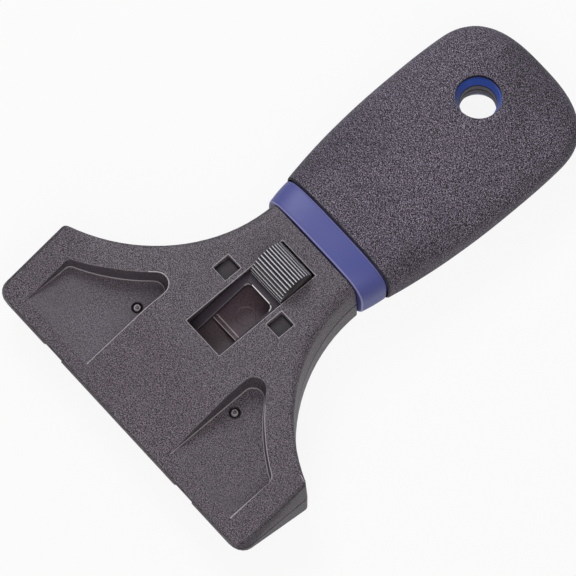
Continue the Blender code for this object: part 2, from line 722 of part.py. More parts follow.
def grip_size(y, inset):
    """Half width, half depth and squareness of the grip at a station, drawn in by an inset."""
    end = HANDLE_END - inset
    widest = GRIP_FRONT + GRIP_WIDEST
    if y < widest:
        share = min((widest - y) / GRIP_WIDEST, 1.0)
        width = GRIP_WIDTH / 2 - (GRIP_WIDTH - GRIP_FRONT_WIDTH) / 2 * share ** GRIP_SWELL
    else:
        share = (y - widest) / (HANDLE_END - widest)
        width = GRIP_WIDTH / 2 - (GRIP_WIDTH - GRIP_END_WIDTH) / 2 * share ** 2
    along = min(max((y - GRIP_FRONT) / (HANDLE_END - GRIP_FRONT), 0.0), 1.0)
    depth = (GRIP_FRONT_DEPTH + (GRIP_END_DEPTH - GRIP_FRONT_DEPTH) * along) / 2
    squareness = COLLAR_SQUARENESS + (GRIP_SQUARENESS - COLLAR_SQUARENESS) * along
    width = (width - inset) * end_round(y, end, GRIP_END_ROUND, PLAN_ROUNDNESS)
    depth = (depth - inset) * end_round(y, end, GRIP_TIP_ROUND, TIP_ROUNDNESS)
    return width, depth, squareness


def grip_rings(start, inset):
    """Sections of the grip from a station to its rounded end, closed by a pole."""
    end = HANDLE_END - inset
    first = end - GRIP_END_ROUND
    shares = [k / GRIP_STOPS for k in range(GRIP_STOPS)]
    stations = [start + (first - start) * share for share in shares]
    stations += [first + GRIP_END_ROUND * math.sin(math.pi / 2 * share) for share in shares]
    rings = [section(y, *grip_size(y, inset)) for y in stations]
    return rings + [[(0, end, 0)]]


def hang_bore(diameter):
    steps = [(diameter / 2, z) for z in (-NECK_DEPTH, NECK_DEPTH)]
    return turned(HOLE_OFFSET, HOLE_STATION, steps, ROUND_SIDES)


def grip(material, parent):
    width, depth, squareness = grip_size(GRIP_FRONT, 0.0)
    lead = section(GRIP_FRONT, width - GRIP_EDGE, depth - GRIP_EDGE, squareness)
    skin = add_object("grip", loft([lead] + grip_rings(GRIP_FRONT + GRIP_EDGE, 0.0)), parent)
    skin.data.materials.append(material)
    hollow = grip_rings(GRIP_FRONT, GRIP_SKIN)
    lead_in = [(x, GRIP_FRONT - PAST, z) for x, y, z in hollow[0]]
    cut(skin, "hollow", loft([lead_in] + hollow))
    cut(skin, "hang_hole", hang_bore(HOLE_DIAMETER))


def handle_core(material, parent):
    """The blue moulding: collar, body under the grip's skin, tang socket and hang hole."""
    depth = COLLAR_DEPTH / 2
    narrow = COLLAR_FRONT_WIDTH / 2
    wide = COLLAR_BACK_WIDTH / 2
    edge = COLLAR_EDGE
    stops = [(COLLAR_FRONT, narrow - edge, depth - edge), (COLLAR_FRONT + edge, narrow, depth)]
    stops += [(COLLAR_BACK - edge, wide, depth), (COLLAR_BACK, wide - edge, depth - edge)]
    rings = [section(y, w, d, COLLAR_SQUARENESS) for y, w, d in stops]
    core = add_object("handle_core", loft(rings + grip_rings(COLLAR_BACK, GRIP_SKIN + SEAT)), parent)
    core.data.materials.append(material)
    deep = TANG_DEPTH / 2 + SEAT
    outline = tang_outline(TANG_WIDTH / 2 + SEAT, NECK_END, TANG_END + SEAT)
    cut(core, "socket", prism_z(outline, -deep, deep))
    cut(core, "hang_hole", hang_bore(CORE_HOLE_DIAMETER))


def slide_object(name, bm, material, slide):
    """A piece of the slide, whose origin is the slide's own empty on its line of travel."""
    piece = add_object(name, bm, slide, SLIDE_ORIGIN)
    piece.data.materials.append(material)
    return piece


def clip_places():
    return [(label, (sign * CLIP_RIVET_X, CLIP_MIDDLE)) for label, sign in SIDES]


def yoke_places():
    return [(label, (sign * RAIL_MIDDLE, YOKE_RIVET_STATION)) for label, sign in SIDES]


def blade(steel, slide):
    front = BLADE_FRONT
    ground = front + BLADE_BEVEL
    half = BLADE_HALF
    edge = BLADE_EDGE / 2
    profile = [(front, -edge), (ground, -half), (BLADE_BACK, -half)]
    profile += [(BLADE_BACK, half), (ground, half), (front, edge)]
    piece = slide_object("blade", prism_x(profile, BLADE_WIDTH / 2), steel, slide)
    for label, place in clip_places():
        drill(piece, "hole_" + label, place, CLIP_RIVET_SHANK, -PAST, PAST, SLIDE_ORIGIN)


def blade_carrier(steel, slide):
    """A steel T: the bar carries the blade, the tongue takes the yoke's rails."""
    bar = CARRIER_HALF
    half = YOKE_HALF
    r = SHEET_CORNER
    right = [((bar, CARRIER_FRONT), r), ((bar, CARRIER_BACK), r)]
    right += [((half, CARRIER_BACK), 0), ((half, TONGUE_BACK), r)]
    left = [((-x, y), radius) for (x, y), radius in reversed(right)]
    plate = prism_z(rounded(right + left), CARRIER_BOTTOM, CARRIER_TOP)
    piece = slide_object("blade_carrier", plate, steel, slide)
    above = CARRIER_TOP + PAST
    for label, place in clip_places():
        drill(piece, "clip_hole_" + label, place, CLIP_RIVET_SHANK, -PAST, above, SLIDE_ORIGIN)
    for label, place in yoke_places():
        drill(piece, "yoke_hole_" + label, place, YOKE_RIVET_SHANK, -PAST, above, SLIDE_ORIGIN)


def blade_clip(steel, slide):
    half = CLIP_HALF
    front = CLIP_MIDDLE - CLIP_DEPTH / 2
    back = CLIP_MIDDLE + CLIP_DEPTH / 2
    corners = [((-half, front), SHEET_CORNER), ((half, front), SHEET_CORNER)]
    corners += [((half, back), SHEET_CORNER), ((-half, back), SHEET_CORNER)]
    piece = slide_object("blade_clip", prism_z(rounded(corners), CLIP_BOTTOM, CLIP_TOP), steel, slide)
    for label, place in clip_places():
        drill(piece, "hole_" + label, place, CLIP_RIVET_SHANK, CLIP_BOTTOM - PAST, PAST, SLIDE_ORIGIN)


def slide_rivets(steel, slide):
    seat = RIVET_HEAD_BOTTOM + CLIP_RIVET_RISE
    steps = fastener_steps(CLIP_RIVET_HEAD, CLIP_RIVET_SHANK, RIVET_HEAD_BOTTOM, seat, CARRIER_TOP)
    for label, place in clip_places():
        slide_object("clip_rivet_" + label, turned(*place, steps, SMALL_SIDES), steel, slide)
    seat = CARRIER_BOTTOM - SHEET_GAP
    end = CARRIER_TOP + YOKE_RIVET_GRIP
    steps = fastener_steps(YOKE_RIVET_HEAD, YOKE_RIVET_SHANK, seat - YOKE_RIVET_RISE, seat, end)
    for label, place in yoke_places():
        slide_object("yoke_rivet_" + label, turned(*place, steps, SMALL_SIDES), steel, slide)


def slide_yoke(material, slide):
    """Two rails that climb from the carrier's tongue to a plate under the button."""
    climb = YOKE_WINDOW_BACK
    heel = YOKE_FOOT_BOTTOM + YOKE_FOOT_HEEL
    profile = [(YOKE_FRONT, YOKE_FOOT_BOTTOM), (TONGUE_BACK, YOKE_FOOT_BOTTOM), (TONGUE_BACK, heel)]
    profile += [(climb, YOKE_PLATE_BOTTOM), (YOKE_BACK, YOKE_PLATE_BOTTOM), (YOKE_BACK, YOKE_TOP)]
    profile += [(climb, YOKE_TOP), (YOKE_FRONT, YOKE_FOOT_TOP)]
    piece = slide_object("slide_yoke", prism_x(profile, YOKE_HALF), material, slide)
    half = YOKE_HALF - RAIL_WIDTH
    r = YOKE_WINDOW_CORNER
    front = YOKE_FRONT - PAST
    corners = [((-half, front), 0), ((half, front), 0), ((half, climb), r), ((-half, climb), r)]
    cut(piece, "window", prism_z(rounded(corners), -PAST, NECK_DEPTH), SLIDE_ORIGIN)
    top = CARRIER_TOP + YOKE_RIVET_GRIP + FASTENER_GAP
    for label, place in yoke_places():
        drill(piece, "rivet_" + label, place, YOKE_RIVET_SHANK, -PAST, top, SLIDE_ORIGIN)
    drill(piece, "screw", (0, BUTTON_SCREW_STATION), BUTTON_SCREW_SHANK, -PAST, NECK_DEPTH, SLIDE_ORIGIN)
    top = SPRING_RIVET_TOP + FASTENER_GAP
    drill(piece, "spring", (0, SPRING_RIVET_STATION), SPRING_RIVET_SHANK, -PAST, top, SLIDE_ORIGIN)


def button_profile():
    """The half-round thumb piece from the side, with evenly pitched ribs and a groove before each."""
    pitch = BUTTON_LENGTH / BUTTON_RIB_COUNT
    profile = [(BUTTON_BACK, BUTTON_BOTTOM), (BUTTON_FRONT, BUTTON_BOTTOM)]
    for i in range(BUTTON_RIB_COUNT):
        for share, depth in ((0.0, BUTTON_RIB_DEPTH), (RIB_START, 0.0), (RIB_END, 0.0)):
            angle = math.acos((pitch * (i + share) - BUTTON_RADIUS) / BUTTON_RADIUS)
            radius = BUTTON_RADIUS - depth
            y = BUTTON_CENTRE + radius * math.cos(angle)
            profile.append((y, BUTTON_ARC_HEIGHT + radius * math.sin(angle)))
    return profile


def thumb_button(material, slide):
    piece = slide_object("thumb_button", prism_x(button_profile(), BUTTON_WIDTH / 2), material, slide)
    top = BUTTON_BOTTOM + BUTTON_SCREW_BITE + FASTENER_GAP
    drill(piece, "screw", (0, BUTTON_SCREW_STATION), BUTTON_SCREW_SHANK, 0, top, SLIDE_ORIGIN)


def button_screw(steel, slide):
    seat = YOKE_PLATE_BOTTOM - SHEET_GAP
    low = seat - BUTTON_SCREW_HEAD_HEIGHT
    sizes = (BUTTON_SCREW_HEAD, BUTTON_SCREW_SHANK, low, seat, BUTTON_BOTTOM + BUTTON_SCREW_BITE)
    add_screw("button_screw", (0, BUTTON_SCREW_STATION), *sizes, steel, slide, SLIDE_ORIGIN)


def spring_line():
    """The leaf's upper line: flat under the yoke, down to its bump over the track, and up at its tip."""
    bend = SPRING_FRONT + SPRING_BASE
    bump = YOKE_BACK - SPRING_BUMP_RADIUS
    low = SPRING_REST + SPRING_THICKNESS
    line = [(SPRING_FRONT, SPRING_TOP), (bend, SPRING_TOP)]
    for k in range(1, SPRING_FACETS + 1):
        share = k / SPRING_FACETS
        drop = 1 - (1 - share) ** 2
        line.append((bend + (bump - bend) * share, SPRING_TOP + (low - SPRING_TOP) * drop))
    line.append((YOKE_BACK, low + SPRING_TIP_RISE))
    return line


def detent_spring(steel, slide):
    line = [Vector(point) for point in spring_line()]
    under = []
    for i, point in enumerate(line):
        along = (line[min(i + 1, len(line) - 1)] - line[max(i - 1, 0)]).normalized()
        under.append(point + Vector((along.y, -along.x)) * SPRING_THICKNESS)
    profile = [tuple(point) for point in line + under[::-1]]
    piece = slide_object("detent_spring", prism_x(profile, SPRING_WIDTH / 2), steel, slide)
    drill(piece, "rivet", (0, SPRING_RIVET_STATION), SPRING_RIVET_SHANK, 0, NECK_DEPTH, SLIDE_ORIGIN)


def spring_rivet(steel, slide):
    seat = SPRING_TOP - SPRING_THICKNESS - SHEET_GAP
    low = seat - SPRING_RIVET_RISE
    steps = fastener_steps(SPRING_RIVET_HEAD, SPRING_RIVET_SHANK, low, seat, SPRING_RIVET_TOP)
    slide_object("spring_rivet", turned(0, SPRING_RIVET_STATION, steps, SMALL_SIDES), steel, slide)


def build():
    clear_scene()
    charcoal = add_material("charcoal_plastic", (0.080, 0.072, 0.078), 0.55)
    black = add_material("soft_black_grip", (0.062, 0.058, 0.066), 0.75)
    blue = add_material("blue_plastic", (0.100, 0.115, 0.340), 0.40)
    ribbed = add_material("gloss_black_button", (0.045, 0.044, 0.050), 0.35)
    inner = add_material("black_inner_plastic", (0.035, 0.031, 0.035), 0.50)
    steel = add_material("bright_steel", (0.560, 0.565, 0.570), 0.30, 1.0)
    base = add_empty("scraper_frame", (0, -FRAME_STATION, FRAME_HEIGHT))
    slide = add_empty("blade_slide", SLIDE_ORIGIN, base)
    front_shell(charcoal, base)
    rear_shell(charcoal, base)
    slide_track(inner, base)
    shell_fasteners(steel, charcoal, base)
    handle_core(blue, base)
    grip(black, base)
    blade(steel, slide)
    blade_carrier(steel, slide)
    blade_clip(steel, slide)
    slide_rivets(steel, slide)
    slide_yoke(inner, slide)
    thumb_button(ribbed, slide)
    button_screw(steel, slide)
    detent_spring(steel, slide)
    spring_rivet(steel, slide)


build()
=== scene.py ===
import json
import math

import bmesh
import bpy
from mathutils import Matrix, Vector


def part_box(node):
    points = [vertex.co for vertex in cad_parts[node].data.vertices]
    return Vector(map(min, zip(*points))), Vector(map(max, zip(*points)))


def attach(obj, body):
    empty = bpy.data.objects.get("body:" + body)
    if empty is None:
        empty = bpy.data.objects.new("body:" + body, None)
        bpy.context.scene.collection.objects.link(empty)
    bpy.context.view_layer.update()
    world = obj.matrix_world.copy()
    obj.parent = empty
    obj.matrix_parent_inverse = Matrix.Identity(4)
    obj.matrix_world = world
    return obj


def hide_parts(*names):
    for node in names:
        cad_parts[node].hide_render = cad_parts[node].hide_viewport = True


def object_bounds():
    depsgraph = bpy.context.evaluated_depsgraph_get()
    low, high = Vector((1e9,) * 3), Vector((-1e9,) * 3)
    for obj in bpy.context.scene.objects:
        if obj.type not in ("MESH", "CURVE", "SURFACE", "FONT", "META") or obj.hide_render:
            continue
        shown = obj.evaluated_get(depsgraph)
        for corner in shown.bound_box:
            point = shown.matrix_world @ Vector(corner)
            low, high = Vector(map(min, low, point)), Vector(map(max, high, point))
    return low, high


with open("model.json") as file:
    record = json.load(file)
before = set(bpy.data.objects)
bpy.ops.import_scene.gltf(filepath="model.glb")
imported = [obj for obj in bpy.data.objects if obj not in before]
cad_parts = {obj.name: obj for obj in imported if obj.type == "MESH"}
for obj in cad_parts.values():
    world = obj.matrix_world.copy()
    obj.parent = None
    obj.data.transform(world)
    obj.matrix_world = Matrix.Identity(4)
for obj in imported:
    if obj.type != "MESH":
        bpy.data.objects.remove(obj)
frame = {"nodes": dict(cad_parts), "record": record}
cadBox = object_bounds()
scene = bpy.context.scene
mm = 0.001
print("frame loaded:", len(frame["nodes"]), "nodes")

# Places read off the frame
holeSet = {"aside": -3.9 * mm, "fromEnd": 24.85 * mm, "cutLow": -10 * mm, "cutHigh": 40 * mm, "sides": 96}
gripLow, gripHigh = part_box("grip")
buttonLow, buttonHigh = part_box("thumb_button")
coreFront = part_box("handle_core")[0].y
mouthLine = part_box("front_shell")[0].y  # front edge of the upper moulding
partingHeight = (gripLow.z + gripHigh.z) / 2  # the blade's plane, midway through the handle
holeSpot = (holeSet["aside"], gripHigh.y - holeSet["fromEnd"])  # middle of the hanging hole


# Small helpers for working by hand

def soloSelect(piece):
    bpy.ops.object.select_all(action="DESELECT")
    piece.select_set(True)
    bpy.context.view_layer.objects.active = piece


def startEdit(piece, mode="VERT"):
    soloSelect(piece)
    bpy.ops.object.mode_set(mode="EDIT")
    bpy.ops.mesh.select_mode(type=mode)
    return bmesh.from_edit_mesh(piece.data)


def pickAll():
    bpy.ops.mesh.select_all(action="SELECT")


def endEdit():
    bpy.ops.object.mode_set(mode="OBJECT")


def pickEdges(piece, test):
    mesh = startEdit(piece, "EDGE")
    bpy.ops.mesh.select_all(action="DESELECT")
    for edge in mesh.edges:
        edge.select = len(edge.link_faces) == 2 and test(edge)
    mesh.select_flush_mode()
    bmesh.update_edit_mesh(piece.data)


def applyAll(piece):
    soloSelect(piece)
    for modifier in list(piece.modifiers):
        bpy.ops.object.modifier_apply(modifier=modifier.name)


def settle(piece):  # the place goes into the mesh
    soloSelect(piece)
    bpy.ops.object.transform_apply(location=True, rotation=True, scale=True)


def cutAway(piece, cutter):
    cutter.hide_render = True
    modifier = piece.modifiers.new("cut", "BOOLEAN")
    modifier.object = cutter
    modifier.solver = "EXACT"
    applyAll(piece)
    bpy.data.objects.remove(cutter, do_unlink=True)


def roundEdges(piece, test, width, steps, sheen=None):
    # the new narrow faces can carry a painted mark: above 0 a painted highlight line, below 0 painted shade
    while len(piece.data.materials) < 2:
        piece.data.materials.append(None)
    pickEdges(piece, test)
    bpy.ops.mesh.bevel(offset=width, offset_type="OFFSET", segments=steps, profile=0.5, affect="EDGES",
                       clamp_overlap=False, loop_slide=False, material=1)
    mesh = bmesh.from_edit_mesh(piece.data)
    layer = mesh.faces.layers.float.get("paintedLightShade") or mesh.faces.layers.float.new("paintedLightShade")
    for face in mesh.faces:
        if face.material_index == 1:
            face[layer] = 0.0 if sheen is None else sheen(face)
            face.material_index = 0
    bmesh.update_edit_mesh(piece.data)
    endEdit()


def markFaces(piece, rule, name="paintedLightShade"):  # a rule that gives None leaves the face as it is
    mesh = startEdit(piece, "FACE")
    layer = mesh.faces.layers.float.get(name) or mesh.faces.layers.float.new(name)
    for face in mesh.faces:
        mark = rule(face)
        if mark is not None:
            face[layer] = mark
    bmesh.update_edit_mesh(piece.data)
    endEdit()


def spotOf(point):
    # millimetres in the scraper's own lie: along the edge, back from the mouth, up from the blade
    return point.x / mm, (point.y - mouthLine) / mm, (point.z - partingHeight) / mm


def faceSpot(face):
    return spotOf(face.calc_center_median())


def edgeSpots(edge):
    return [spotOf(vert.co) for vert in edge.verts]


def holeGap(point):  # from the middle of the hanging hole
    return math.hypot(point.x - holeSpot[0], point.y - holeSpot[1])


def between(value, limits):
    return limits[0] < value < limits[1]


def cutLoop(place, way):  # new edges where a plane meets the piece that is in edit mode
    pickAll()
    bpy.ops.mesh.bisect(plane_co=place, plane_no=way)


def boxMap(piece):  # flat maps in metres, one for each way that faces look
    startEdit(piece, "FACE")
    pickAll()
    bpy.ops.uv.cube_project(cube_size=1.0, correct_aspect=False, clip_to_bounds=False,
                            scale_to_bounds=False)
    endEdit()


def smoothFaces(piece, angle):
    soloSelect(piece)
    bpy.ops.object.shade_smooth_by_angle(angle=math.radians(angle))
    weighted = piece.modifiers.new("flat_faces_first", "WEIGHTED_NORMAL")
    weighted.keep_sharp = True
    weighted.weight = 80
    applyAll(piece)


def finishPiece(piece, body, nodes, slotName, material=None):  # the slot's own finish, if no other is given
    piece.data.materials.clear()
    piece.data.materials.append(material or finishes[slotName])
    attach(piece, body)
    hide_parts(*nodes)


def addPin(name, spot, radius, low, high, sides):  # a plain upright round, for cutting
    bpy.ops.mesh.primitive_cylinder_add(vertices=sides, radius=radius, depth=high - low,
                                        location=(*spot, (low + high) / 2))
    pin = bpy.context.object
    pin.name = name
    settle(pin)
    return pin


def cutHole(piece, radius):  # straight through the handle
    low, high, sides = holeSet["cutLow"], holeSet["cutHigh"], holeSet["sides"]
    cutAway(piece, addPin("holeCutter", holeSpot, radius, low, high, sides))


def wrapGrid(name, around, along, girth, place, weld=0.002 * mm):
    # a flat grid rolled up into a tube: place(share round, row) gives each point, its map stays flat
    rows = len(along)
    bpy.ops.object.select_all(action="DESELECT")
    bpy.ops.mesh.primitive_grid_add(x_subdivisions=around, y_subdivisions=rows - 1, size=2)
    piece = bpy.context.object
    piece.name = name
    mesh = startEdit(piece)
    layer = mesh.loops.layers.uv.verify()

    def onGrid(vert):
        return (vert.co.x + 1) / 2, round((vert.co.y + 1) / 2 * (rows - 1))

    for face in mesh.faces:
        for loop in face.loops:
            share, row = onGrid(loop.vert)
            loop[layer].uv = (share * girth, along[row])
    for vert in mesh.verts:
        vert.co = place(*onGrid(vert))
    bmesh.update_edit_mesh(piece.data)
    pickAll()
    bpy.ops.mesh.remove_doubles(threshold=weld)
    bpy.ops.mesh.normals_make_consistent(inside=False)
    endEdit()
    settle(piece)
    return piece


# Shader groups

def addNode(tree, kind, spot, **settings):
    node = tree.nodes.new(kind)
    node.location = spot
    for key, value in settings.items():
        setattr(node, key, value)
    return node


def feed(tree, node, values):  # numbers and colours are set on the sockets, anything else is linked
    for key, value in values.items():
        if isinstance(value, (int, float)):
            node.inputs[key].default_value = value
        elif isinstance(value, tuple):
            node.inputs[key].default_value = (*value, 1)
        elif value is not None:
            tree.links.new(value, node.inputs[key])


def newGroup(name, inputs, outputs):
    tree = bpy.data.node_groups.new(name, "ShaderNodeTree")
    for label, default in inputs:
        socket = tree.interface.new_socket(name=label, in_out="INPUT", socket_type="NodeSocketFloat")
        socket.default_value = default
    for label in outputs:
        tree.interface.new_socket(name=label, in_out="OUTPUT", socket_type="NodeSocketFloat")
    start = addNode(tree, "NodeGroupInput", (-900, 0))
    end = addNode(tree, "NodeGroupOutput", (700, 0))
    return tree, start, end


def mathNode(tree, operation, spot, first, second, third=None, clamp=False):
    node = addNode(tree, "ShaderNodeMath", spot, operation=operation, use_clamp=clamp)
    feed(tree, node, {0: first, 1: second, 2: third})
    return node.outputs[0]


def noiseNode(tree, spot, coords, scale, detail, roughness=0.5):
    node = addNode(tree, "ShaderNodeTexNoise", spot)
    feed(tree, node, {"Vector": coords, "Scale": scale, "Detail": detail, "Roughness": roughness})
    return node.outputs["Fac"]


def stepMask(tree, spot, value, low, high):
    node = addNode(tree, "ShaderNodeMapRange", spot, interpolation_type="SMOOTHSTEP")
    feed(tree, node, {"Value": value, "From Min": low, "From Max": high})
    return node.outputs["Result"]


grainSet = {"warp": 1.0, "dome": (0.38, 0.62), "bright": (0.64, 0.78), "patch": (0.36, 0.6),
            "middle": 0.5, "calmest": 0.5}
scuffSet = {"smudge": (0.6, 0.78), "dust": (0.52, 0.68), "dustScale": 1900.0}
brushSet = {"stretch": (0.02, 1.0, 1.0), "cloudScale": 120.0, "cloudShare": 0.5, "middle": 0.75}


def makeGrainGroup():
    # moulded grain: close-set fine pebbles, some of them with a painted glint, calmer in patches
    tree, start, end = newGroup("mouldedGrain", [("Grain Scale", 2600.0), ("Patch Scale", 45.0)],
                                ["Tone", "Speck", "Height"])
    coords = addNode(tree, "ShaderNodeTexCoord", (-1100, -300))
    fine = noiseNode(tree, (-700, 300), coords.outputs["UV"], start.outputs["Grain Scale"], 0.0)
    fine.node.noise_dimensions = "2D"
    fine.node.inputs["Distortion"].default_value = grainSet["warp"]  # so that no lattice shows
    dome = stepMask(tree, (-480, 300), fine, *grainSet["dome"])
    bright = stepMask(tree, (-480, -60), fine, *grainSet["bright"])
    cloud = noiseNode(tree, (-700, -300), coords.outputs["Object"], start.outputs["Patch Scale"], 2.0)
    patch = stepMask(tree, (-480, -300), cloud, *grainSet["patch"])
    calm = mathNode(tree, "MULTIPLY_ADD", (-280, -300), patch, 1 - grainSet["calmest"], grainSet["calmest"])
    centred = mathNode(tree, "SUBTRACT", (-280, 200), dome, grainSet["middle"])
    tree.links.new(mathNode(tree, "MULTIPLY", (200, 150), centred, calm), end.inputs["Tone"])
    tree.links.new(mathNode(tree, "MULTIPLY", (200, -100), bright, calm), end.inputs["Speck"])
    tree.links.new(dome, end.inputs["Height"])
    return tree


def makeScuffGroup():
    # light handling marks: dusty smudges, thinly spread
    tree, start, end = newGroup("handlingMarks", [("Spread", 35.0)], ["Mask"])
    coords = addNode(tree, "ShaderNodeTexCoord", (-900, -300)).outputs["Object"]
    cloud = noiseNode(tree, (-500, 200), coords, start.outputs["Spread"], 4.0, 0.65)
    smudge = stepMask(tree, (-300, 200), cloud, *scuffSet["smudge"])
    motes = noiseNode(tree, (-500, -50), coords, scuffSet["dustScale"], 2.0, 0.7)
    dust = stepMask(tree, (-300, -50), motes, *scuffSet["dust"])
    tree.links.new(mathNode(tree, "MULTIPLY", (0, 100), smudge, dust), end.inputs["Mask"])
    return tree


def makeBrushGroup():
    # brushed metal: long fine lines along the blade's edge
    tree, start, end = newGroup("brushedLines", [("Line Scale", 900.0)], ["Tone", "Height"])
    coords = addNode(tree, "ShaderNodeTexCoord", (-900, -300)).outputs["Object"]
    stretch = addNode(tree, "ShaderNodeMapping", (-700, -300))
    stretch.inputs["Scale"].default_value = brushSet["stretch"]
    tree.links.new(coords, stretch.inputs["Vector"])
    lines = noiseNode(tree, (-400, 100), stretch.outputs["Vector"], start.outputs["Line Scale"], 4.0, 0.7)
    cloud = noiseNode(tree, (-400, -150), coords, brushSet["cloudScale"], 3.0)
    clouded = mathNode(tree, "MULTIPLY", (-240, -150), cloud, brushSet["cloudShare"])
    mixed = mathNode(tree, "ADD", (-100, 0), lines, clouded)
    tree.links.new(mathNode(tree, "SUBTRACT", (100, 50), mixed, brushSet["middle"]), end.inputs["Tone"])
    tree.links.new(lines, end.inputs["Height"])
    return tree


grainGroup = makeGrainGroup()
scuffGroup = makeScuffGroup()
brushGroup = makeBrushGroup()
print("shader groups ready")


def placeGroup(tree, group, spot, **values):
    node = addNode(tree, "ShaderNodeGroup", spot, node_tree=group)
    for label, value in values.items():
        node.inputs[label.replace("_", " ")].default_value = value
    return node


def newMaterial(name, metallic=0.0, specular=0.5):
    material = bpy.data.materials.new(name)
    material.use_nodes = True
    tree = material.node_tree
    shader = tree.nodes["Principled BSDF"]
    feed(tree, shader, {"Metallic": metallic, "Specular IOR Level": specular})
    return material, tree, shader


def tintBy(tree, spot, value, dark, light):
    ramp = addNode(tree, "ShaderNodeValToRGB", spot)
    for element, colour in zip(ramp.color_ramp.elements, (dark, light)):
        element.color = (*colour, 1)
    tree.links.new(value, ramp.inputs["Fac"])
    return ramp.outputs["Color"]


def mixColour(tree, spot, factor, first, second):
    node = addNode(tree, "ShaderNodeMix", spot, data_type="RGBA")
    feed(tree, node, {"Factor": factor, 6: first, 7: second})  # 6 and 7 are the colours A and B
    return node.outputs[2]


def bumpFrom(tree, spot, height, strength, distance, shader):
    bump = addNode(tree, "ShaderNodeBump", spot)
    feed(tree, bump, {"Height": height, "Strength": strength, "Distance": distance})
    tree.links.new(bump.outputs["Normal"], shader.inputs["Normal"])


def roughFrom(tree, spot, value, gain, middle, shader):
    rough = mathNode(tree, "MULTIPLY_ADD", spot, value, gain, middle, clamp=True)
    tree.links.new(rough, shader.inputs["Roughness"])


def mouldedPlastic(name, look):
    material, tree, shader = newMaterial(name, specular=look["specular"])
    grain = placeGroup(tree, grainGroup, (-1100, 0), Grain_Scale=look["grainScale"],
                       Patch_Scale=look["patchScale"])
    marks = placeGroup(tree, scuffGroup, (-1100, -350), Spread=look["markSpread"])
    # the face mark: above 0 mixes in a painted highlight, below 0 painted shade
    edges = addNode(tree, "ShaderNodeAttribute", (-1100, -600), attribute_name="paintedLightShade").outputs["Fac"]
    calm = addNode(tree, "ShaderNodeAttribute", (-1300, 250), attribute_name="grainCalm").outputs["Fac"]
    kept = mathNode(tree, "SUBTRACT", (-1100, 250), 1.0, calm)
    tone = mathNode(tree, "MULTIPLY", (-950, 150), grain.outputs["Tone"], kept)
    spread = mathNode(tree, "MULTIPLY_ADD", (-800, 100), tone, look["grainContrast"], look["grainMiddle"])
    base = tintBy(tree, (-700, 200), spread, look["dark"], look["light"])
    speck = mathNode(tree, "MULTIPLY", (-950, -50), grain.outputs["Speck"], kept)
    # painted glints on the brightest pebbles
    glint = mathNode(tree, "MULTIPLY", (-700, -50), speck, look["glint"])
    speckled = mixColour(tree, (-400, 150), glint, base, look["glintAndScuffColour"])
    # handling marks, real dust, in the same light colour as the painted glints
    scuffed = mathNode(tree, "MULTIPLY", (-600, -300), marks.outputs["Mask"], look["marks"])
    marked = mixColour(tree, (-200, 100), scuffed, speckled, look["glintAndScuffColour"])
    # painted highlight lines along marked edges
    paintedHighlight = mathNode(tree, "MULTIPLY", (-600, -500), edges, look["highlightStrength"], clamp=True)
    highlighted = mixColour(tree, (0, 100), paintedHighlight, marked, look["highlightColour"])
    # painted shade in seams, gaps, grooves and hollows
    paintedShade = mathNode(tree, "MULTIPLY", (-600, -700), edges, -1.0, clamp=True)
    colour = mixColour(tree, (200, 100), paintedShade, highlighted, look["shadeColour"])
    tree.links.new(colour, shader.inputs["Base Color"])
    roughFrom(tree, (-200, -150), grain.outputs["Tone"], look["roughSpread"], look["roughness"], shader)
    bumpFrom(tree, (-100, -400), grain.outputs["Height"], look["bump"], look["bumpDepth"], shader)
    return material


def brushedSteel(name, look):
    material, tree, shader = newMaterial(name, metallic=1.0)
    lines = placeGroup(tree, brushGroup, (-900, 0), Line_Scale=look["lineScale"])
    marks = placeGroup(tree, scuffGroup, (-900, -350), Spread=look["markSpread"])
    spread = mathNode(tree, "MULTIPLY_ADD", (-700, 100), lines.outputs["Tone"], look["contrast"],
                      look["middle"])
    base = tintBy(tree, (-500, 200), spread, look["dark"], look["light"])
    scuffed = mathNode(tree, "MULTIPLY", (-400, -300), marks.outputs["Mask"], look["marks"])
    tree.links.new(mixColour(tree, (0, 100), scuffed, base, look["dark"]), shader.inputs["Base Color"])
    roughFrom(tree, (-200, -150), lines.outputs["Tone"], look["roughSpread"], look["roughness"], shader)
    bumpFrom(tree, (-100, -400), lines.outputs["Height"], look["bump"], look["bumpDepth"], shader)
    return material


# in each look the colour for edges is painted on as highlight lines, the colour for depths as painted
# shade, and the glint colour serves painted glints and real handling marks
plainLook = {"grainScale": 2500.0, "patchScale": 70.0, "grainContrast": 0.8, "grainMiddle": 0.5,
             "glint": 0.0, "glintAndScuffColour": (0.3, 0.27, 0.28), "markSpread": 60.0, "marks": 0.15,
             "highlightStrength": 1.0, "shadeColour": (0.006, 0.005, 0.006), "specular": 0.3, "roughSpread": 0.15,
             "bump": 0.02, "bumpDepth": 0.03 * mm}
charcoalLook = {**plainLook, "dark": (0.0, 0.0, 0.0), "light": (0.161, 0.137, 0.166), "grainScale": 4000.0,
                "patchScale": 35.0, "grainContrast": 2.6, "glint": 0.55, "glintAndScuffColour": (0.34, 0.31, 0.34),
                "markSpread": 40.0, "marks": 0.25, "highlightColour": (0.44, 0.41, 0.43), "roughness": 0.5,
                "specular": 0.2, "bump": 0.15}
gripLook = {**plainLook, "dark": (0.0, 0.0, 0.0), "light": (0.178, 0.148, 0.206), "grainScale": 3350.0,
            "patchScale": 30.0, "grainContrast": 6.0, "grainMiddle": -0.6, "glint": 0.9,
            "glintAndScuffColour": (0.42, 0.38, 0.45), "markSpread": 30.0, "marks": 0.0, "highlightStrength": 0.0,
            "highlightColour": (0.1, 0.1, 0.1), "shadeColour": (0.004, 0.004, 0.004), "roughness": 0.6,
            "specular": 0.2, "bump": 0.7, "bumpDepth": 0.10 * mm}
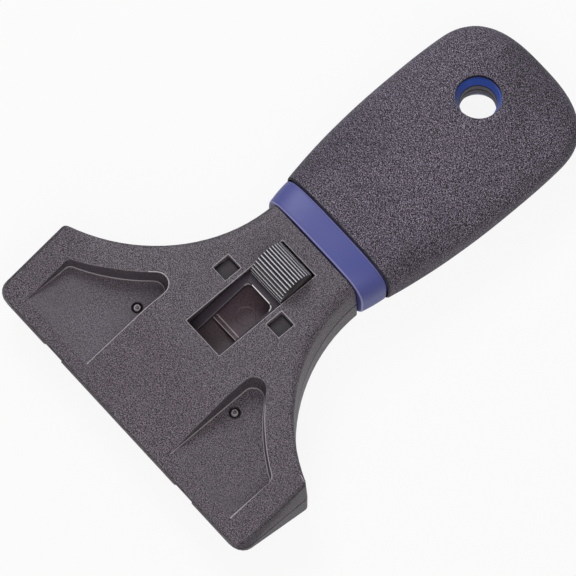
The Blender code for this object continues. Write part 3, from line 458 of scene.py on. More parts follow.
# the blue's colour for depths is the painted shade of the hole's wall, a deeper, stronger blue
blueLook = {**plainLook, "dark": (0.049, 0.057, 0.216), "light": (0.057, 0.066, 0.245), "patchScale": 80.0,
            "grainContrast": 0.5, "glintAndScuffColour": (0.3, 0.32, 0.55), "markSpread": 50.0, "marks": 0.05,
            "highlightStrength": 0.6, "highlightColour": (0.40, 0.38, 0.62), "shadeColour": (0.026, 0.075, 0.380),
            "roughness": 0.48, "specular": 0.42, "bumpDepth": 0.02 * mm}
buttonLook = {**plainLook, "dark": (0.035, 0.032, 0.034), "light": (0.105, 0.096, 0.102),
              "patchScale": 90.0, "glintAndScuffColour": (0.4, 0.38, 0.4), "marks": 0.1,
              "highlightColour": (0.80, 0.79, 0.87), "shadeColour": (0.004, 0.004, 0.004), "roughness": 0.36,
              "specular": 0.35}
innerLook = {**plainLook, "dark": (0.056, 0.038, 0.048), "light": (0.136, 0.094, 0.114),
             "highlightColour": (0.70, 0.63, 0.64), "roughness": 0.42}
yokeLook = {**plainLook, "dark": (0.017, 0.012, 0.018), "light": (0.038, 0.027, 0.040),
            "highlightColour": (0.72, 0.68, 0.68), "roughness": 0.38}
steelLook = {"dark": (0.40, 0.40, 0.41), "light": (0.68, 0.68, 0.69), "lineScale": 900.0, "contrast": 0.9,
             "middle": 0.5, "markSpread": 60.0, "marks": 0.3, "roughness": 0.30, "roughSpread": 0.3,
             "bump": 0.15, "bumpDepth": 0.02 * mm}

finishes = {
    "charcoal_plastic": mouldedPlastic("charcoalMoulding", charcoalLook),
    "soft_black_grip": mouldedPlastic("pebbledGrip", gripLook),
    "blue_plastic": mouldedPlastic("satinBlue", blueLook),
    "gloss_black_button": mouldedPlastic("buttonBlack", buttonLook),
    "black_inner_plastic": mouldedPlastic("slideBlack", innerLook),
    "bright_steel": brushedSteel("brushedBladeSteel", steelLook),
}
print("finishes ready:", len(finishes))


# Shells and inner pieces: the frame's own shapes, merged, with their moulded edges softened
# Lengths are millimetres as spotOf gives them, a tilt is the z of a face's normal, a turn its x or y,
# marks are painted highlight above 0 and painted shade below 0, as roundEdges says, pairs run from low to
# high

shellSet = {"mouth": 2.2, "rise": 9.8, "crease": 30.0, "neckEnd": 83.0, "headEnd": 57.2,
            "windowSides": (9.8, 16.0), "windowRun": (54.8, 61.6), "windowUp": 3.0}
# the mark values below are painted: highlight strips by the right pocket, shade on the head's ends, the
# neck's left outline and the pocket walls, some light on the window walls
upperSet = {"pocketSides": (20.3, 49.2), "pocketBack": 47.0, "pocketDrop": 0.6, "pocketCalm": 0.55,
            "innerRun": 0.7, "outerRun": 1.2, "tipFrom": 33.0, "tipSide": 29.0,
            "slotSide": 17.0, "slotFrom": 35.0, "seamUp": 0.6, "mouthRun": 1.0, "rimDrop": 0.5,
            "pinRing": 2.4, "pinHole": 2.0, "pinUp": 4.0, "pinSharp": 1.0, "pinDish": 0.5, "pinSteps": 2,
            "sharpNear": 0.06, "sharpTo": 45.0, "sharpDrop": 0.15,
            "footWide": 0.25, "footTilt": 0.9, "footDrop": 0.3, "footTo": 44.0, "footMark": 0.75,
            "rimNear": 49.125, "rimSlant": 0.0165, "rimWide": 0.24, "rimRun": (5.0, 21.2), "rimTilt": 0.8,
            "rimFlush": 0.06, "rimMark": 0.65,
            "endTilt": (0.2, 0.97), "endRoundMark": -0.45, "endWallMark": -0.2,
            "outlineFrom": 17.5, "outlineTurn": -0.05, "outlineTilt": (0.2, 0.7), "outlineMark": -0.7,
            "wallSides": (19.3, 50.0), "wallTo": 46.0, "wallUp": (4.6, 11.6), "wallTilt": 0.35,
            "wallMark": -0.2, "windowTilt": 0.3, "windowMark": 0.15}
# rim and foot lines are painted highlights, brighter on the side the light falls on; seam and mouth lines
# are painted shade
upperLines = {"seam": -1.0, "mouth": -0.6, "slotRim": (0.7, 0.7), "slotFoot": 0.0,  # rims: left and right
              "innerRim": (1.0, 0.1), "innerFoot": 0.5, "outerRim": (0.0, 0.8), "outerFoot": 0.5,
              "endRim": (0.15, 0.8), "endFoot": 0.55}
pinLow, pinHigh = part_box("head_pin_right")
pinSpot = spotOf((pinLow + pinHigh) / 2)


def faceDrop(along, up):  # how far a point is under the front face
    rise = shellSet["rise"] * min(max(along / shellSet["crease"], 0.0), 1.0)
    return shellSet["mouth"] + rise - up


def pinGap(x, along):  # from the nearer pin's middle
    return math.hypot(abs(x) - pinSpot[0], along - pinSpot[1])


def rimLine(along):  # where the right pocket's outer edge runs on the slope
    return upperSet["rimNear"] + upperSet["rimSlant"] * along


def inWindow(x, along, up):
    inside = between(abs(x), shellSet["windowSides"]) and between(along, shellSet["windowRun"])
    return inside and up > shellSet["windowUp"]


def upperSheen(face):
    x, along, up = faceSpot(face)
    side = abs(x)
    inner, outer = upperSet["pocketSides"]
    if along > shellSet["neckEnd"] or up < upperSet["seamUp"] or pinGap(x, along) < upperSet["pinRing"]:
        return upperLines["seam"]  # painted shade in the seams to the collar, the lower half and round the pins
    if along < upperSet["mouthRun"]:
        # painted shade along the mouth
        return upperLines["mouth"]
    if side < upperSet["slotSide"] and along > upperSet["slotFrom"]:  # thumb slot and windows
        part = "slot"
    elif side < inner + upperSet["innerRun"] or side < upperSet["tipSide"] and along > upperSet["tipFrom"]:
        part = "inner"
    else:
        part = "outer" if side > outer - upperSet["outerRun"] else "end"
    # painted highlight lines on rims and feet
    onRim = faceDrop(along, up) < upperSet["rimDrop"]
    return upperLines[part + "Rim"][x > 0] if onRim else upperLines[part + "Foot"]


def upperMarks(face):
    x, along, up = faceSpot(face)
    side, tilt, drop = abs(x), face.normal.z, faceDrop(along, up)
    # painted shade on the head's rounded ends and its right end wall
    if side > shellSet["headEnd"] and along < shellSet["crease"]:
        if between(tilt, upperSet["endTilt"]):
            return upperSet["endRoundMark"]
        return upperSet["endWallMark"] if x > 0 and tilt < upperSet["endTilt"][0] else None
    # painted highlight strips at the right pocket's inner foot and outer rim
    level = tilt > upperSet["footTilt"] and drop > upperSet["footDrop"] and along < upperSet["footTo"]
    if level and between(x - upperSet["pocketSides"][0], (0, upperSet["footWide"])):
        return upperSet["footMark"]
    byRim = between(x - rimLine(along), (0, upperSet["rimWide"])) and drop < upperSet["rimFlush"]
    if byRim and tilt > upperSet["rimTilt"]:
        return upperSet["rimMark"] if between(along, upperSet["rimRun"]) else None
    # painted shade along the neck's left outline
    outward = face.normal.x * x > 0 and face.normal.y > upperSet["outlineTurn"]
    onNeck = along > shellSet["crease"] and side > upperSet["outlineFrom"]
    if outward and onNeck and between(tilt, upperSet["outlineTilt"]):
        return upperSet["outlineMark"] if x < 0 else None
    # painted shade on the pocket walls, painted light on the window walls
    inPocket = between(side, upperSet["wallSides"]) and along < upperSet["wallTo"]
    if inPocket and abs(tilt) < upperSet["wallTilt"] and between(up, upperSet["wallUp"]):
        return upperSet["wallMark"]
    onWindow = inWindow(x, along, up) and abs(tilt) < upperSet["windowTilt"]
    return upperSet["windowMark"] if onWindow else None


def upperCalm(face):  # pockets are smoother than the face round them
    x, along, up = faceSpot(face)
    inPocket = between(abs(x), upperSet["pocketSides"]) and along < upperSet["pocketBack"]
    return upperSet["pocketCalm"] if inPocket and faceDrop(along, up) > upperSet["pocketDrop"] else None


def upperSkip(edge):  # the foot of a pocket's inner side stays sharp
    spots = edgeSpots(edge)
    for x, along, up in spots:
        onFoot = abs(abs(x) - upperSet["pocketSides"][0]) < upperSet["sharpNear"]
        if not onFoot or along >= upperSet["sharpTo"]:
            return False
    return any(faceDrop(along, up) > upperSet["sharpDrop"] for x, along, up in spots)


def shapeUpper(piece):  # each pin sits in a dished hole
    def onRim(edge):
        spots = edgeSpots(edge)
        near = all(pinGap(x, along) < upperSet["pinHole"] and up > upperSet["pinUp"]
                   for x, along, up in spots)
        return near and edge.calc_face_angle(0) > upperSet["pinSharp"]

    # a painted shade ring round each pin
    roundEdges(piece, onRim, upperSet["pinDish"] * mm, upperSet["pinSteps"],
               lambda face: upperLines["seam"])


def stripUpper(piece):  # narrow strips for the painted highlight lines beside the right pocket's sharp edges
    startEdit(piece)
    cuts = [((upperSet["pocketSides"][0] + upperSet["footWide"], 0), (1, 0)),
            ((rimLine(0) + upperSet["rimWide"], 0), (1, -upperSet["rimSlant"]))]
    cuts += [((0, along), (0, 1)) for along in upperSet["rimRun"]]
    for (x, along), way in cuts:
        cutLoop((x * mm, mouthLine + along * mm, 0), (*way, 0))
    endEdit()


# seam, end and latch marks are painted shade, edge marks painted highlight lines, the strip mark painted
# light on the bay floor by the mouth
lowerSet = {"seamUp": -0.6, "seamMark": -1.0, "edgeMark": 0.3, "endTurn": 0.8, "endMark": -0.2,
            "latchReach": (10.1, 15.7), "latchMiddle": 13.0, "latchTip": 61.3, "tipFrom": 58.5,
            "latchTop": 9.7, "topFrom": 6.9, "latchMark": -0.68, "latchCalm": 0.8,
            "lipBack": 0.45, "lipFront": -0.3, "lipRun": 5.0, "lipTo": 4.69,
            "notchAt": 0.7, "notchNear": 0.01, "notchSide": 40.0, "notchBack": 0.6,
            "stripBack": 1.4, "stripTilt": 0.7, "stripUp": (-1.9, -1.3), "stripMark": 0.25}


def lowerSheen(face):
    x, along, up = faceSpot(face)
    # painted shade in the seams, painted highlight lines on the other edges
    onSeam = along > shellSet["neckEnd"] or up > lowerSet["seamUp"]
    return lowerSet["seamMark"] if onSeam else lowerSet["edgeMark"]


def lowerMarks(face):
    x, along, up = faceSpot(face)
    # painted shade on the right end wall and on the latches in the windows
    if x > shellSet["headEnd"] and along < shellSet["crease"] and face.normal.x > lowerSet["endTurn"]:
        return lowerSet["endMark"]
    if inWindow(x, along, up):
        return lowerSet["latchMark"]
    # painted light on the bay floor just inside the mouth, where shade falls
    onStrip = along < lowerSet["stripBack"] and between(up, lowerSet["stripUp"])
    return lowerSet["stripMark"] if onStrip and face.normal.z > lowerSet["stripTilt"] else None


def lowerCalm(face):  # smooth latch ends
    return lowerSet["latchCalm"] if inWindow(*faceSpot(face)) else None


def shapeLower(piece):  # level lip, shallow notches before the rivets, latches that fill the windows
    mesh = startEdit(piece)
    for vert in mesh.verts:
        x, along, up = spotOf(vert.co)
        if inWindow(x, along, up):
            reach = lowerSet["latchReach"][abs(x) >= lowerSet["latchMiddle"]]
            vert.co.x = math.copysign(reach * mm, x)
            if along > lowerSet["tipFrom"]:
                vert.co.y = mouthLine + lowerSet["latchTip"] * mm
            if up > lowerSet["topFrom"]:
                vert.co.z = partingHeight + lowerSet["latchTop"] * mm
        elif abs(along - lowerSet["notchAt"]) < lowerSet["notchNear"] and abs(x) < lowerSet["notchSide"]:
            vert.co.y = mouthLine + lowerSet["notchBack"] * mm
        elif along < lowerSet["lipTo"]:
            share = 1 - (along - lowerSet["lipFront"]) / lowerSet["lipRun"]
            vert.co.y += lowerSet["lipBack"] * share * mm
    bmesh.update_edit_mesh(piece.data)
    # a strip of the bay floor by the mouth, to carry painted light
    cutLoop((0, mouthLine + lowerSet["stripBack"] * mm, 0), (0, 1, 0))
    endEdit()


# the lip and disc marks are painted highlight lines, the floor mark painted light on the deep low floor
trackSet = {"lipRun": (46.4, 48.7), "lipUp": -1.6, "lipMark": 1.0, "discAt": 54.8, "discRadius": 4.0,
            "discMark": 0.05, "edgeMark": 0.0, "floorUp": (-4.5, -4.0), "floorTilt": 0.9, "floorMark": 0.06}


def trackSheen(face):
    x, along, up = faceSpot(face)
    if between(along, trackSet["lipRun"]) and up > trackSet["lipUp"]:  # the step's lip gets painted highlight lines
        return trackSet["lipMark"]
    onDisc = math.hypot(x, along - trackSet["discAt"]) < trackSet["discRadius"]  # the round mould mark
    # a faint painted highlight round the mould mark
    return trackSet["discMark"] if onDisc else trackSet["edgeMark"]


def trackMarks(face):
    x, along, up = faceSpot(face)
    # painted light on the low floor, which sits deep in shade
    onFloor = face.normal.z > trackSet["floorTilt"] and between(up, trackSet["floorUp"])
    return trackSet["floorMark"] if onFloor else None


# lip, corner and edge marks are painted highlight lines, brightest at the lip's right corner
yokeSet = {"lipAt": 60.84, "lipNear": 0.02, "lipSide": 4.7, "lipWide": 0.32, "lipRun": (-3.9, 4.6),
           "lipUp": 8.9, "lipMark": 1.0, "openRight": 0.75, "openSides": (3.5, 5.4), "openFrom": 50.0,
           "cornerFrom": 58.9, "cornerSide": 6.3, "cornerUp": 8.3, "cornerMarks": (0.25, 1.0),
           "edgeMark": 0.03}


def shapeYoke(piece):  # the window is wider to the right, and its lip gets a strip of its own for a painted highlight line
    mesh = startEdit(piece)
    for vert in mesh.verts:
        x, along, up = spotOf(vert.co)
        if between(x, yokeSet["openSides"]) and along > yokeSet["openFrom"]:
            vert.co.x += yokeSet["openRight"] * mm
    bmesh.update_edit_mesh(piece.data)
    cutLoop((0, mouthLine + (yokeSet["lipAt"] + yokeSet["lipWide"]) * mm, 0), (0, 1, 0))
    for x in yokeSet["lipRun"]:
        cutLoop((x * mm, 0, 0), (1, 0, 0))
    endEdit()


def yokeSheen(face):
    x, along, up = faceSpot(face)
    # painted highlight lines, strongest at the lip's right corner
    nearLip = along > yokeSet["cornerFrom"] and up > yokeSet["cornerUp"] and abs(x) < yokeSet["cornerSide"]
    return yokeSet["cornerMarks"][x > 0] if nearLip else yokeSet["edgeMark"]


def yokeSkip(edge):  # the lip's own edge stays sharp
    spots = edgeSpots(edge)
    return all(abs(along - yokeSet["lipAt"]) < yokeSet["lipNear"] and abs(x) < yokeSet["lipSide"]
               for x, along, up in spots)


def yokeMarks(face):
    x, along, up = faceSpot(face)
    # painted highlight line on the lip's strip
    onLip = between(along - yokeSet["lipAt"], (0, yokeSet["lipWide"])) and between(x, yokeSet["lipRun"])
    return yokeSet["lipMark"] if onLip and up > yokeSet["lipUp"] else None


def bothSides(node, piece, **sizes):
    return {node + "_" + side: {"piece": piece + side.title(), **sizes} for side in ("left", "right")}


# by default every softened edge gets a painted highlight line, on pieces whose finish reads the marks
softPlain = {"steps": 2, "sharp": 50, "smooth": 40, "weld": 0.001, "flat": 0.3,  # angles in degrees
             "sheen": lambda face: 0.7, "skip": lambda edge: False}
softenSets = {
    "front_shell": {"piece": "upperMoulding", "edge": 0.26, "smooth": 34, "shape": shapeUpper,
                    "skip": upperSkip, "sheen": upperSheen, "strips": stripUpper, "marks": upperMarks,
                    "calm": upperCalm},
    "rear_shell": {"piece": "lowerMoulding", "edge": 0.24, "smooth": 34, "shape": shapeLower,
                   "sheen": lowerSheen, "marks": lowerMarks, "calm": lowerCalm},
    **bothSides("head_pin", "pin", edge=0.28, sharp=35),
    "slide_track": {"piece": "slideTrack", "edge": 0.22, "smooth": 34, "sheen": trackSheen,
                    "marks": trackMarks},
    "slide_yoke": {"piece": "slideYoke", "edge": 0.35, "steps": 3, "smooth": 34, "shape": shapeYoke,
                   "skip": yokeSkip, "sheen": yokeSheen, "marks": yokeMarks,
                   "finish": mouldedPlastic("yokeBlack", yokeLook)},
    "blade": {"piece": "scraperBlade", "edge": 0.02, "steps": 1, "smooth": 34},
    "blade_carrier": {"piece": "bladeCarrier", "edge": 0.10, "smooth": 34},
    "blade_clip": {"piece": "bladeClip", "edge": 0.10, "smooth": 34},
    **bothSides("clip_rivet", "clipRivet", edge=0.12),
    **bothSides("yoke_rivet", "yokeRivet", edge=0.08),
    **bothSides("shell_screw", "shellScrew", edge=0.08),
    "button_screw": {"piece": "buttonScrew", "edge": 0.08},
    "detent_spring": {"piece": "detentSpring", "edge": 0.05, "steps": 1},
    "spring_rivet": {"piece": "springRivet", "edge": 0.08},
}
slotOf = {part["node"]: part["material_slot"] for part in frame["record"]["subparts"]}
bodyOf = {node: body for body, nodes in frame["record"]["behaviour"]["bodies"].items() for node in nodes}


def softenedCopy(node, sizes):
    source = frame["nodes"][node]
    piece = source.copy()
    piece.data = source.data.copy()
    piece.name = sizes["piece"]
    piece.parent = None
    scene.collection.objects.link(piece)
    for key in list(piece.keys()):
        del piece[key]
    startEdit(piece)
    pickAll()
    bpy.ops.mesh.remove_doubles(threshold=sizes["weld"] * mm)
    bpy.ops.mesh.dissolve_limited(angle_limit=math.radians(sizes["flat"]))
    endEdit()
    if "shape" in sizes:
        sizes["shape"](piece)
    limit = math.radians(sizes["sharp"])
    roundEdges(piece, lambda edge: edge.calc_face_angle(0) > limit and not sizes["skip"](edge),
               sizes["edge"] * mm, sizes["steps"], sizes["sheen"])
    if "strips" in sizes:
        sizes["strips"](piece)
    if "marks" in sizes:
        markFaces(piece, sizes["marks"])
    if "calm" in sizes:
        markFaces(piece, sizes["calm"], "grainCalm")
    smoothFaces(piece, sizes["smooth"])
    boxMap(piece)
    finishPiece(piece, bodyOf[node], [node], slotOf[node], sizes.get("finish"))


for node, sizes in softenSets.items():
    softenedCopy(node, {**softPlain, **sizes})
print("softened pieces:", len(softenSets))


# Handle: pebbled skin over the blue core

handleSet = {"frontWidth": 49.8 * mm, "fullWidth": 60.0 * mm, "endWidth": 54.6 * mm, "widestAt": 56.0 * mm,
             "frontDepth": 26.6 * mm, "endDepth": 15.2 * mm, "endRound": 20.0 * mm, "tipRound": 8.0 * mm,
             "frontSquareness": 3.4, "endSquareness": 2.6, "swell": 2.4, "planRoundness": 2.8,
             "tipRoundness": 2.4, "sides": 120, "rows": 30, "endRows": 22, "girthShare": 2.4}
# the skin's lip and hole marks are painted shade
skinSet = {"wall": 1.6 * mm, "lip": 0.5 * mm, "lipRows": 4, "holeRadius": 7.65 * mm, "holeNear": 0.05 * mm,
           "wallTilt": 0.3, "lipMark": -0.8, "holeMarks": (-0.45, -0.9), "smooth": 40}  # rear, front
# the core's hole mark is painted shade, its edge mark painted highlight lines on the collar
coreSet = {"gap": 0.3 * mm, "collarFront": 45.8 * mm, "collarBack": 48.6 * mm, "collarDepth": 26.0 * mm,
           "collarLength": 9.5 * mm, "collarBulge": 0.15 * mm, "collarRound": 0.8 * mm, "collarRows": 10,
           "roundRows": 4, "holeWaist": 6.1 * mm, "holeMouth": 7.25 * mm, "holeNear": 0.3 * mm,
           "waistAt": 3.5 * mm, "mouthAt": 7.4 * mm, "cutTo": 14.0 * mm,
           "socketWidth": 24.6 * mm, "socketDepth": 7.5 * mm, "socketEnd": 12.2 * mm,
           "socketLead": 5.0 * mm, "socketCorner": 6.1 * mm, "cornerSteps": 6,
           "holeMark": -1.0, "edgeMark": 0.8, "edgeTurn": (0.25, 0.9), "smooth": 40}


def ease(share, length, power):  # a rounded end: 1 along the straight, 0 at the tip
    reach = min(max(share / length, 0.0), 1.0)
    return (1 - reach ** power) ** (1 / power)


def frontToEnd(part, share):
    front, end = handleSet["front" + part], handleSet["end" + part]
    return front + (end - front) * share


def handleSize(y, inset):  # half width, half depth and squareness of the handle's section at y
    widest, full = gripLow.y + handleSet["widestAt"], handleSet["fullWidth"]
    if y < widest:
        share = min((widest - y) / handleSet["widestAt"], 1.0)
        width = full - (full - handleSet["frontWidth"]) * share ** handleSet["swell"]
    else:
        share = (y - widest) / (gripHigh.y - widest)
        width = full - (full - handleSet["endWidth"]) * share ** 2
    along = min(max((y - gripLow.y) / (gripHigh.y - gripLow.y), 0.0), 1.0)
    depth, square = frontToEnd("Depth", along), frontToEnd("Squareness", along)
    end, endRound, tipRound = gripHigh.y - inset, handleSet["endRound"], handleSet["tipRound"]
    half = (width / 2 - inset) * ease(y - end + endRound, endRound, handleSet["planRoundness"])
    deep = (depth / 2 - inset) * ease(y - end + tipRound, tipRound, handleSet["tipRoundness"])
    return half, deep, square


def ovalPoints(half, deep, square, count, fine=1440):
    # evenly spaced points round a squared oval, read off a finer one
    raw = []
    for step in range(fine + 1):
        turn = 2 * math.pi * step / fine
        x = math.copysign(abs(math.cos(turn)) ** (2 / square), math.cos(turn)) * half
        z = math.copysign(abs(math.sin(turn)) ** (2 / square), math.sin(turn)) * deep
        raw.append(Vector((x, z)))
    lengths = [0.0]
    for first, second in zip(raw, raw[1:]):
        lengths.append(lengths[-1] + (second - first).length)
    points, index = [], 0
    for step in range(count):
        target = lengths[-1] * step / count
        while lengths[index + 1] < target:
            index += 1
        part = (target - lengths[index]) / max(lengths[index + 1] - lengths[index], 1e-12)
        points.append(raw[index].lerp(raw[index + 1], part))
    return points


def handleRows(start, inset):
    first = gripHigh.y - inset - handleSet["endRound"]
    rows = [start + (first - start) * k / handleSet["rows"] for k in range(handleSet["rows"])]
    turns = handleSet["endRows"]
    rows += [first + handleSet["endRound"] * math.sin(math.pi / 2 * k / turns) for k in range(turns)]
    return [(y, *handleSize(y, inset)) for y in rows] + [(gripHigh.y - inset, 0.0, 0.0, 2.0)]


def ovalTube(name, sections):
    sides = handleSet["sides"]
    rings = [ovalPoints(*size, sides) if size[0] > 0 else None for y, *size in sections]

    def place(share, row):
        y = sections[row][0]
        if rings[row] is None:
            return Vector((0, y, partingHeight))
        spot = rings[row][round(share * sides) % sides]
        return Vector((spot.x, y, partingHeight + spot.y))

    girth = handleSet["fullWidth"] * handleSet["girthShare"]
    along = [0.0]
    for first, second in zip(sections, sections[1:]):
        along.append(along[-1] + math.hypot(second[0] - first[0], second[2] - first[2]))
    return wrapGrid(name, sides, along, girth, place)


def makeSkin():
    lip = skinSet["lip"]
    half, deep, square = handleSize(gripLow.y, 0.0)
    sections = []
    for k in range(skinSet["lipRows"]):  # rolled front lip
        turn = math.pi / 2 * k / skinSet["lipRows"]
        drop = lip * (1 - math.sin(turn))
        sections.append((gripLow.y + lip * (1 - math.cos(turn)), half - drop, deep - drop, square))
    sections += handleRows(gripLow.y + lip, 0.0)
    piece = ovalTube("pebbledSkin", sections)
    wall = piece.modifiers.new("wall", "SOLIDIFY")
    wall.thickness = skinSet["wall"]
    wall.offset = -1
    applyAll(piece)
    cutHole(piece, skinSet["holeRadius"])

    def skinMarks(face):  # painted shade on the front lip and the hole's walls
        spot = face.calc_center_median()
        if spot.y < gripLow.y + lip:
            return skinSet["lipMark"]
        atHole = abs(holeGap(spot) - skinSet["holeRadius"]) < skinSet["holeNear"]
        onWall = atHole and abs(face.normal.z) < skinSet["wallTilt"]
        return skinSet["holeMarks"][spot.z > partingHeight] if onWall else None

    markFaces(piece, skinMarks)
    smoothFaces(piece, skinSet["smooth"])
    finishPiece(piece, "body", ["grip"], "soft_black_grip")


def makeCore():
    front, back = coreFront, coreFront + coreSet["collarLength"]
    edge, steps = coreSet["collarRound"], coreSet["roundRows"]
    square = handleSet["frontSquareness"]
    sections = [(front, 0.0, 0.0, square)]

    def addCollar(y, width, grow):
        sections.append((y, width / 2 + grow, coreSet["collarDepth"] / 2 + grow, square))

    for k in range(steps + 1):  # front edge of the collar
        turn = math.pi / 2 * k / steps
        addCollar(front + edge * (1 - math.cos(turn)), coreSet["collarFront"], -edge * (1 - math.sin(turn)))
    for k in range(1, coreSet["collarRows"]):
        share = k / coreSet["collarRows"]
        width = coreSet["collarFront"] + (coreSet["collarBack"] - coreSet["collarFront"]) * share
        bulge = coreSet["collarBulge"] * math.sin(math.pi * share)
        addCollar(front + edge + (back - front - 2 * edge) * share, width, bulge)
    for k in range(steps + 1):  # back edge of the collar
        turn = math.pi / 2 * k / steps
        addCollar(back - edge + edge * math.sin(turn), coreSet["collarBack"], -edge * (1 - math.cos(turn)))
    sections += handleRows(back, skinSet["wall"] + coreSet["gap"])
    piece = ovalTube("blueCore", sections)

    end, lead = gripHigh.y - coreSet["socketEnd"], coreSet["socketLead"]
    bpy.ops.mesh.primitive_cube_add(size=1, location=(0, (front - lead + end) / 2, partingHeight),
                                    scale=(coreSet["socketWidth"], end - front + lead,
                                           coreSet["socketDepth"]))
    socket = bpy.context.object
    settle(socket)

    def farCorner(upright):
        first, second = upright.verts[0].co, upright.verts[1].co
        return abs(first.z - second.z) > mm and first.y > front

    roundEdges(socket, farCorner, coreSet["socketCorner"], coreSet["cornerSteps"])
    cutAway(piece, socket)

    waist = coreSet["holeWaist"]
    cutHole(piece, waist)
    slope = (coreSet["holeMouth"] - waist) / (coreSet["mouthAt"] - coreSet["waistAt"])
    reach = coreSet["cutTo"] - coreSet["waistAt"]
    wide = waist + slope * reach
    for side in (1, -1):  # the hole opens out to both faces
        ends = (waist, wide) if side > 0 else (wide, waist)
        level = partingHeight + side * (coreSet["waistAt"] + coreSet["cutTo"]) / 2
        bpy.ops.mesh.primitive_cone_add(vertices=holeSet["sides"], radius1=ends[0], radius2=ends[1],
                                        depth=reach, location=(*holeSpot, level))
        cone = bpy.context.object
        settle(cone)
        cutAway(piece, cone)

    def blueMarks(face):  # painted highlight lines on the collar's edges, painted shade colour in the hole
        spot = face.calc_center_median()
        if holeGap(spot) < coreSet["holeMouth"] + coreSet["holeNear"]:
            return coreSet["holeMark"]
        wayIn = min(spot.y - front, back - spot.y)
        outside = face.normal.y * (1 if spot.y > (front + back) / 2 else -1)
        onEdge = 0 < wayIn < edge and between(outside, coreSet["edgeTurn"])
        return coreSet["edgeMark"] if onEdge else None

    markFaces(piece, blueMarks)
    smoothFaces(piece, coreSet["smooth"])
    finishPiece(piece, "body", ["handle_core"], "blue_plastic")


makeSkin()
print("grip skin made")
makeCore()
print("blue core made")


# Thumb button: half-round, cross-ribbed
# crests are degrees over the top from the back, ribShape is place, sink and mark from groove to groove

# ribShape marks paint a highlight on each crest and shade in the grooves; the front crests are made
# brighter, and the foot marks are painted shade
buttonSet = {"overrun": 0.1 * mm, "axisDrop": 0.6 * mm, "faceHeight": 12.0 * mm, "ribDepth": 0.42 * mm,
             "crests": (21, 35, 47.5, 58.5, 69, 79.5, 89.5, 99.5, 110, 121, 132.5, 145, 158.5, 173),
             "lastCrest": 1.45 * mm, "frontShine": 2.2, "frontFrom": 0.86, "leastRise": 0.05 * mm,
             "backMark": -0.3, "frontMark": -0.6, "sideRound": 0.18 * mm, "sideNear": 0.01 * mm,
             "sideSteps": 2, "screwRadius": 1.4 * mm, "screwAt": 7.4 * mm, "screwDepth": 5.2 * mm,
             "screwLead": 2.0 * mm, "screwSides": 32, "smooth": 55,
             "ribShape": ((-1.0, 1.0, -1.0), (-0.78, 0.8, -1.0), (-0.52, 0.25, -0.6), (-0.26, 0.03, 0.25),
                          (0.0, 0.0, 1.0), (0.24, 0.03, 0.25), (0.5, 0.2, -0.5), (0.76, 0.75, -1.0))}


def buttonOutline():  # points round the button's side, each with its mark of painted light and shade
    radius = (buttonHigh.y - buttonLow.y) / 2 + buttonSet["overrun"]
    middle = buttonLow.y + radius
    height = partingHeight + buttonSet["faceHeight"] - buttonSet["axisDrop"]
    half = radius * math.pi  # over the top; what is further runs down the front
    depth, low = buttonSet["ribDepth"], buttonLow.z
    crests = [radius * math.radians(turn) for turn in buttonSet["crests"]] + [half + buttonSet["lastCrest"]]
    crests.reverse()
    grooves = [(first + second) / 2 for first, second in zip(crests, crests[1:])]
    grooves = [2 * crests[0] - grooves[0]] + grooves + [2 * crests[-1] - grooves[-1]]
    # the foot is given painted shade
    outline = [(buttonHigh.y, low, buttonSet["backMark"]),
               (buttonLow.y + depth, low, buttonSet["frontMark"])]
    for crest, before, after in zip(crests, grooves, grooves[1:]):
        for share, sink, sheen in buttonSet["ribShape"]:
            run = crest + (before - crest) * -share if share < 0 else crest + (after - crest) * share
            turn = min(run, half) / radius
            reach = radius - sink * depth
            level = height + reach * math.sin(turn) - max(run - half, 0.0)
            # the front crests get a stronger painted highlight
            inFront = sheen > 0 and run > half * buttonSet["frontFrom"]
            shine = sheen * buttonSet["frontShine"] if inFront else sheen
            level = max(level, low + buttonSet["leastRise"])
            outline.append((middle + reach * math.cos(turn), level, shine))
    return outline


def makeButton():
    outline = buttonOutline()
    bpy.ops.object.select_all(action="DESELECT")
    bpy.ops.mesh.primitive_circle_add(vertices=len(outline), radius=1, fill_type="NGON")
    piece = bpy.context.object
    piece.name = "ribbedButton"
    mesh = startEdit(piece, "FACE")
    layer = mesh.verts.layers.float.new("paintedLightShade")
    mesh.verts.ensure_lookup_table()
    for vert, (y, z, sheen) in zip(mesh.verts, outline):
        vert.co = (buttonLow.x, y, z)
        vert[layer] = sheen
    bmesh.update_edit_mesh(piece.data)
    pickAll()
    bpy.ops.mesh.extrude_region_move(TRANSFORM_OT_translate={"value": (buttonHigh.x - buttonLow.x, 0, 0)})
    pickAll()
    bpy.ops.mesh.normals_make_consistent(inside=False)
    endEdit()
    settle(piece)

    def onSide(edge):
        return all(abs(abs(vert.co.x) - buttonHigh.x) < buttonSet["sideNear"] for vert in edge.verts)

    roundEdges(piece, onSide, buttonSet["sideRound"], buttonSet["sideSteps"])
    screw = addPin("screwCutter", (0, buttonLow.y + buttonSet["screwAt"]), buttonSet["screwRadius"],
                   buttonLow.z - buttonSet["screwLead"], buttonLow.z + buttonSet["screwDepth"],
                   buttonSet["screwSides"])
    cutAway(piece, screw)
    smoothFaces(piece, buttonSet["smooth"])
    boxMap(piece)
    finishPiece(piece, "slide", ["thumb_button"], "gloss_black_button")


makeButton()
print("thumb button made")


# Floor, light and camera

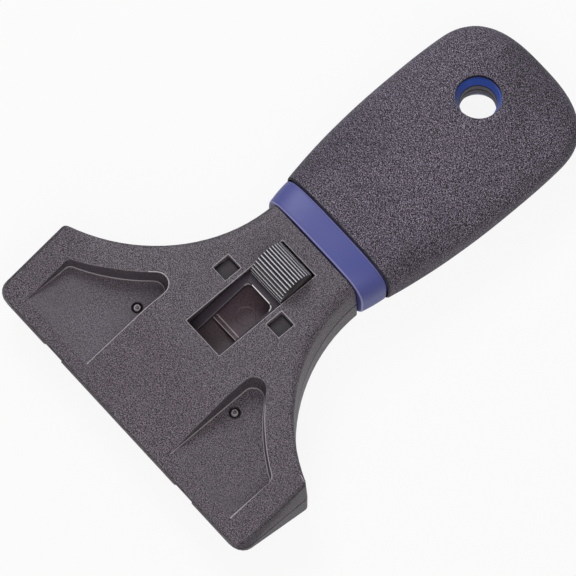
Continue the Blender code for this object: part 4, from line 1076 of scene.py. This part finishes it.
studioSet = {"floorSize": 3.0, "floorGap": 0.05 * mm, "floorColour": (0.62, 0.62, 0.62), "floorRough": 0.9,
             "floorWhite": 0.9, "worldLight": 0.22,
             "keyFrom": (-0.58, 0.20, 0.76), "keyDistance": 0.9, "keySize": 0.4, "keyPower": 4.6,
             "keyColour": (0.95, 0.96, 1.0), "fillColour": (1.0, 0.96, 0.94),
             "fillFrom": (0.45, -0.42, 0.80), "fillDistance": 1.2, "fillSize": 1.0, "fillPower": 9.0}
cameraSet = {"azimuth": 48.575, "elevation": 70.37, "distance": 2.5, "farClip": 10.0, "lens": 488.75,
             "sensor": 36.0, "aimAcross": 54.66 * mm, "aimUp": 42.78 * mm}


def cameraRays(tree, spot):  # rays that see the background: straight, mirrored or through glass
    path = addNode(tree, "ShaderNodeLightPath", spot).outputs
    some = mathNode(tree, "MAXIMUM", (spot[0] + 200, spot[1]), path["Is Camera Ray"], path["Is Glossy Ray"])
    return mathNode(tree, "MAXIMUM", (spot[0] + 380, spot[1]), some, path["Is Transmission Ray"])


def makeFloor():
    bpy.ops.object.select_all(action="DESELECT")
    bpy.ops.mesh.primitive_plane_add(size=studioSet["floorSize"],
                                     location=(0, 0, cadBox[0].z - studioSet["floorGap"]))
    floor = bpy.context.object
    floor.name = "paleFloor"
    material, tree, shader = newMaterial("paleFloorPaint", specular=0.0)
    feed(tree, shader, {"Base Color": studioSet["floorColour"], "Roughness": studioSet["floorRough"]})
    white = addNode(tree, "ShaderNodeEmission", (0, -200))
    share = mathNode(tree, "MULTIPLY", (0, 200), cameraRays(tree, (-600, 200)), studioSet["floorWhite"])
    mixed = addNode(tree, "ShaderNodeMixShader", (300, 100))
    feed(tree, mixed, {0: share, 1: shader.outputs[0], 2: white.outputs[0]})
    tree.links.new(mixed.outputs[0], tree.nodes["Material Output"].inputs["Surface"])
    floor.data.materials.append(material)


def makeWorld():
    world = bpy.data.worlds.new("studioWhite")
    scene.world = world
    world.use_nodes = True
    tree = world.node_tree
    back = tree.nodes["Background"]
    back.inputs["Color"].default_value = (1, 1, 1, 1)
    dim = studioSet["worldLight"]
    lift = mathNode(tree, "MULTIPLY_ADD", (-200, 0), cameraRays(tree, (-800, 0)), 1 - dim, dim)
    tree.links.new(lift, back.inputs["Strength"])


def addSoftbox(name, direction, distance, size, power, colour):
    light = bpy.data.lights.new(name, "AREA")
    light.color = colour
    light.size = size
    light.energy = power
    lamp = bpy.data.objects.new(name, light)
    scene.collection.objects.link(lamp)
    aim = Vector(direction).normalized()
    lamp.location = aim * distance
    lamp.rotation_euler = aim.to_track_quat("Z", "Y").to_euler()


def makeCamera():
    turn = math.radians(cameraSet["azimuth"])
    tilt = math.radians(cameraSet["elevation"])
    right = Vector((math.cos(turn), math.sin(turn), 0))
    back = Vector((math.sin(turn) * math.cos(tilt), -math.cos(turn) * math.cos(tilt), math.sin(tilt)))
    up = back.cross(right)
    middle = Vector((0, mouthLine, partingHeight))
    target = middle + right * cameraSet["aimAcross"] + up * cameraSet["aimUp"]
    lens = bpy.data.cameras.new("photoCamera")
    lens.lens = cameraSet["lens"]
    lens.sensor_width = cameraSet["sensor"]
    lens.clip_end = cameraSet["farClip"]
    camera = bpy.data.objects.new("photoCamera", lens)
    scene.collection.objects.link(camera)
    camera.location = target + back * cameraSet["distance"]
    camera.rotation_euler = back.to_track_quat("Z", "Y").to_euler()
    scene.camera = camera


makeFloor()
makeWorld()
for name in ("key", "fill"):
    softbox = [studioSet[name + part] for part in ("From", "Distance", "Size", "Power", "Colour")]
    addSoftbox(name + "Light", *softbox)
makeCamera()
scene.view_settings.view_transform = "Standard"
print("studio ready")
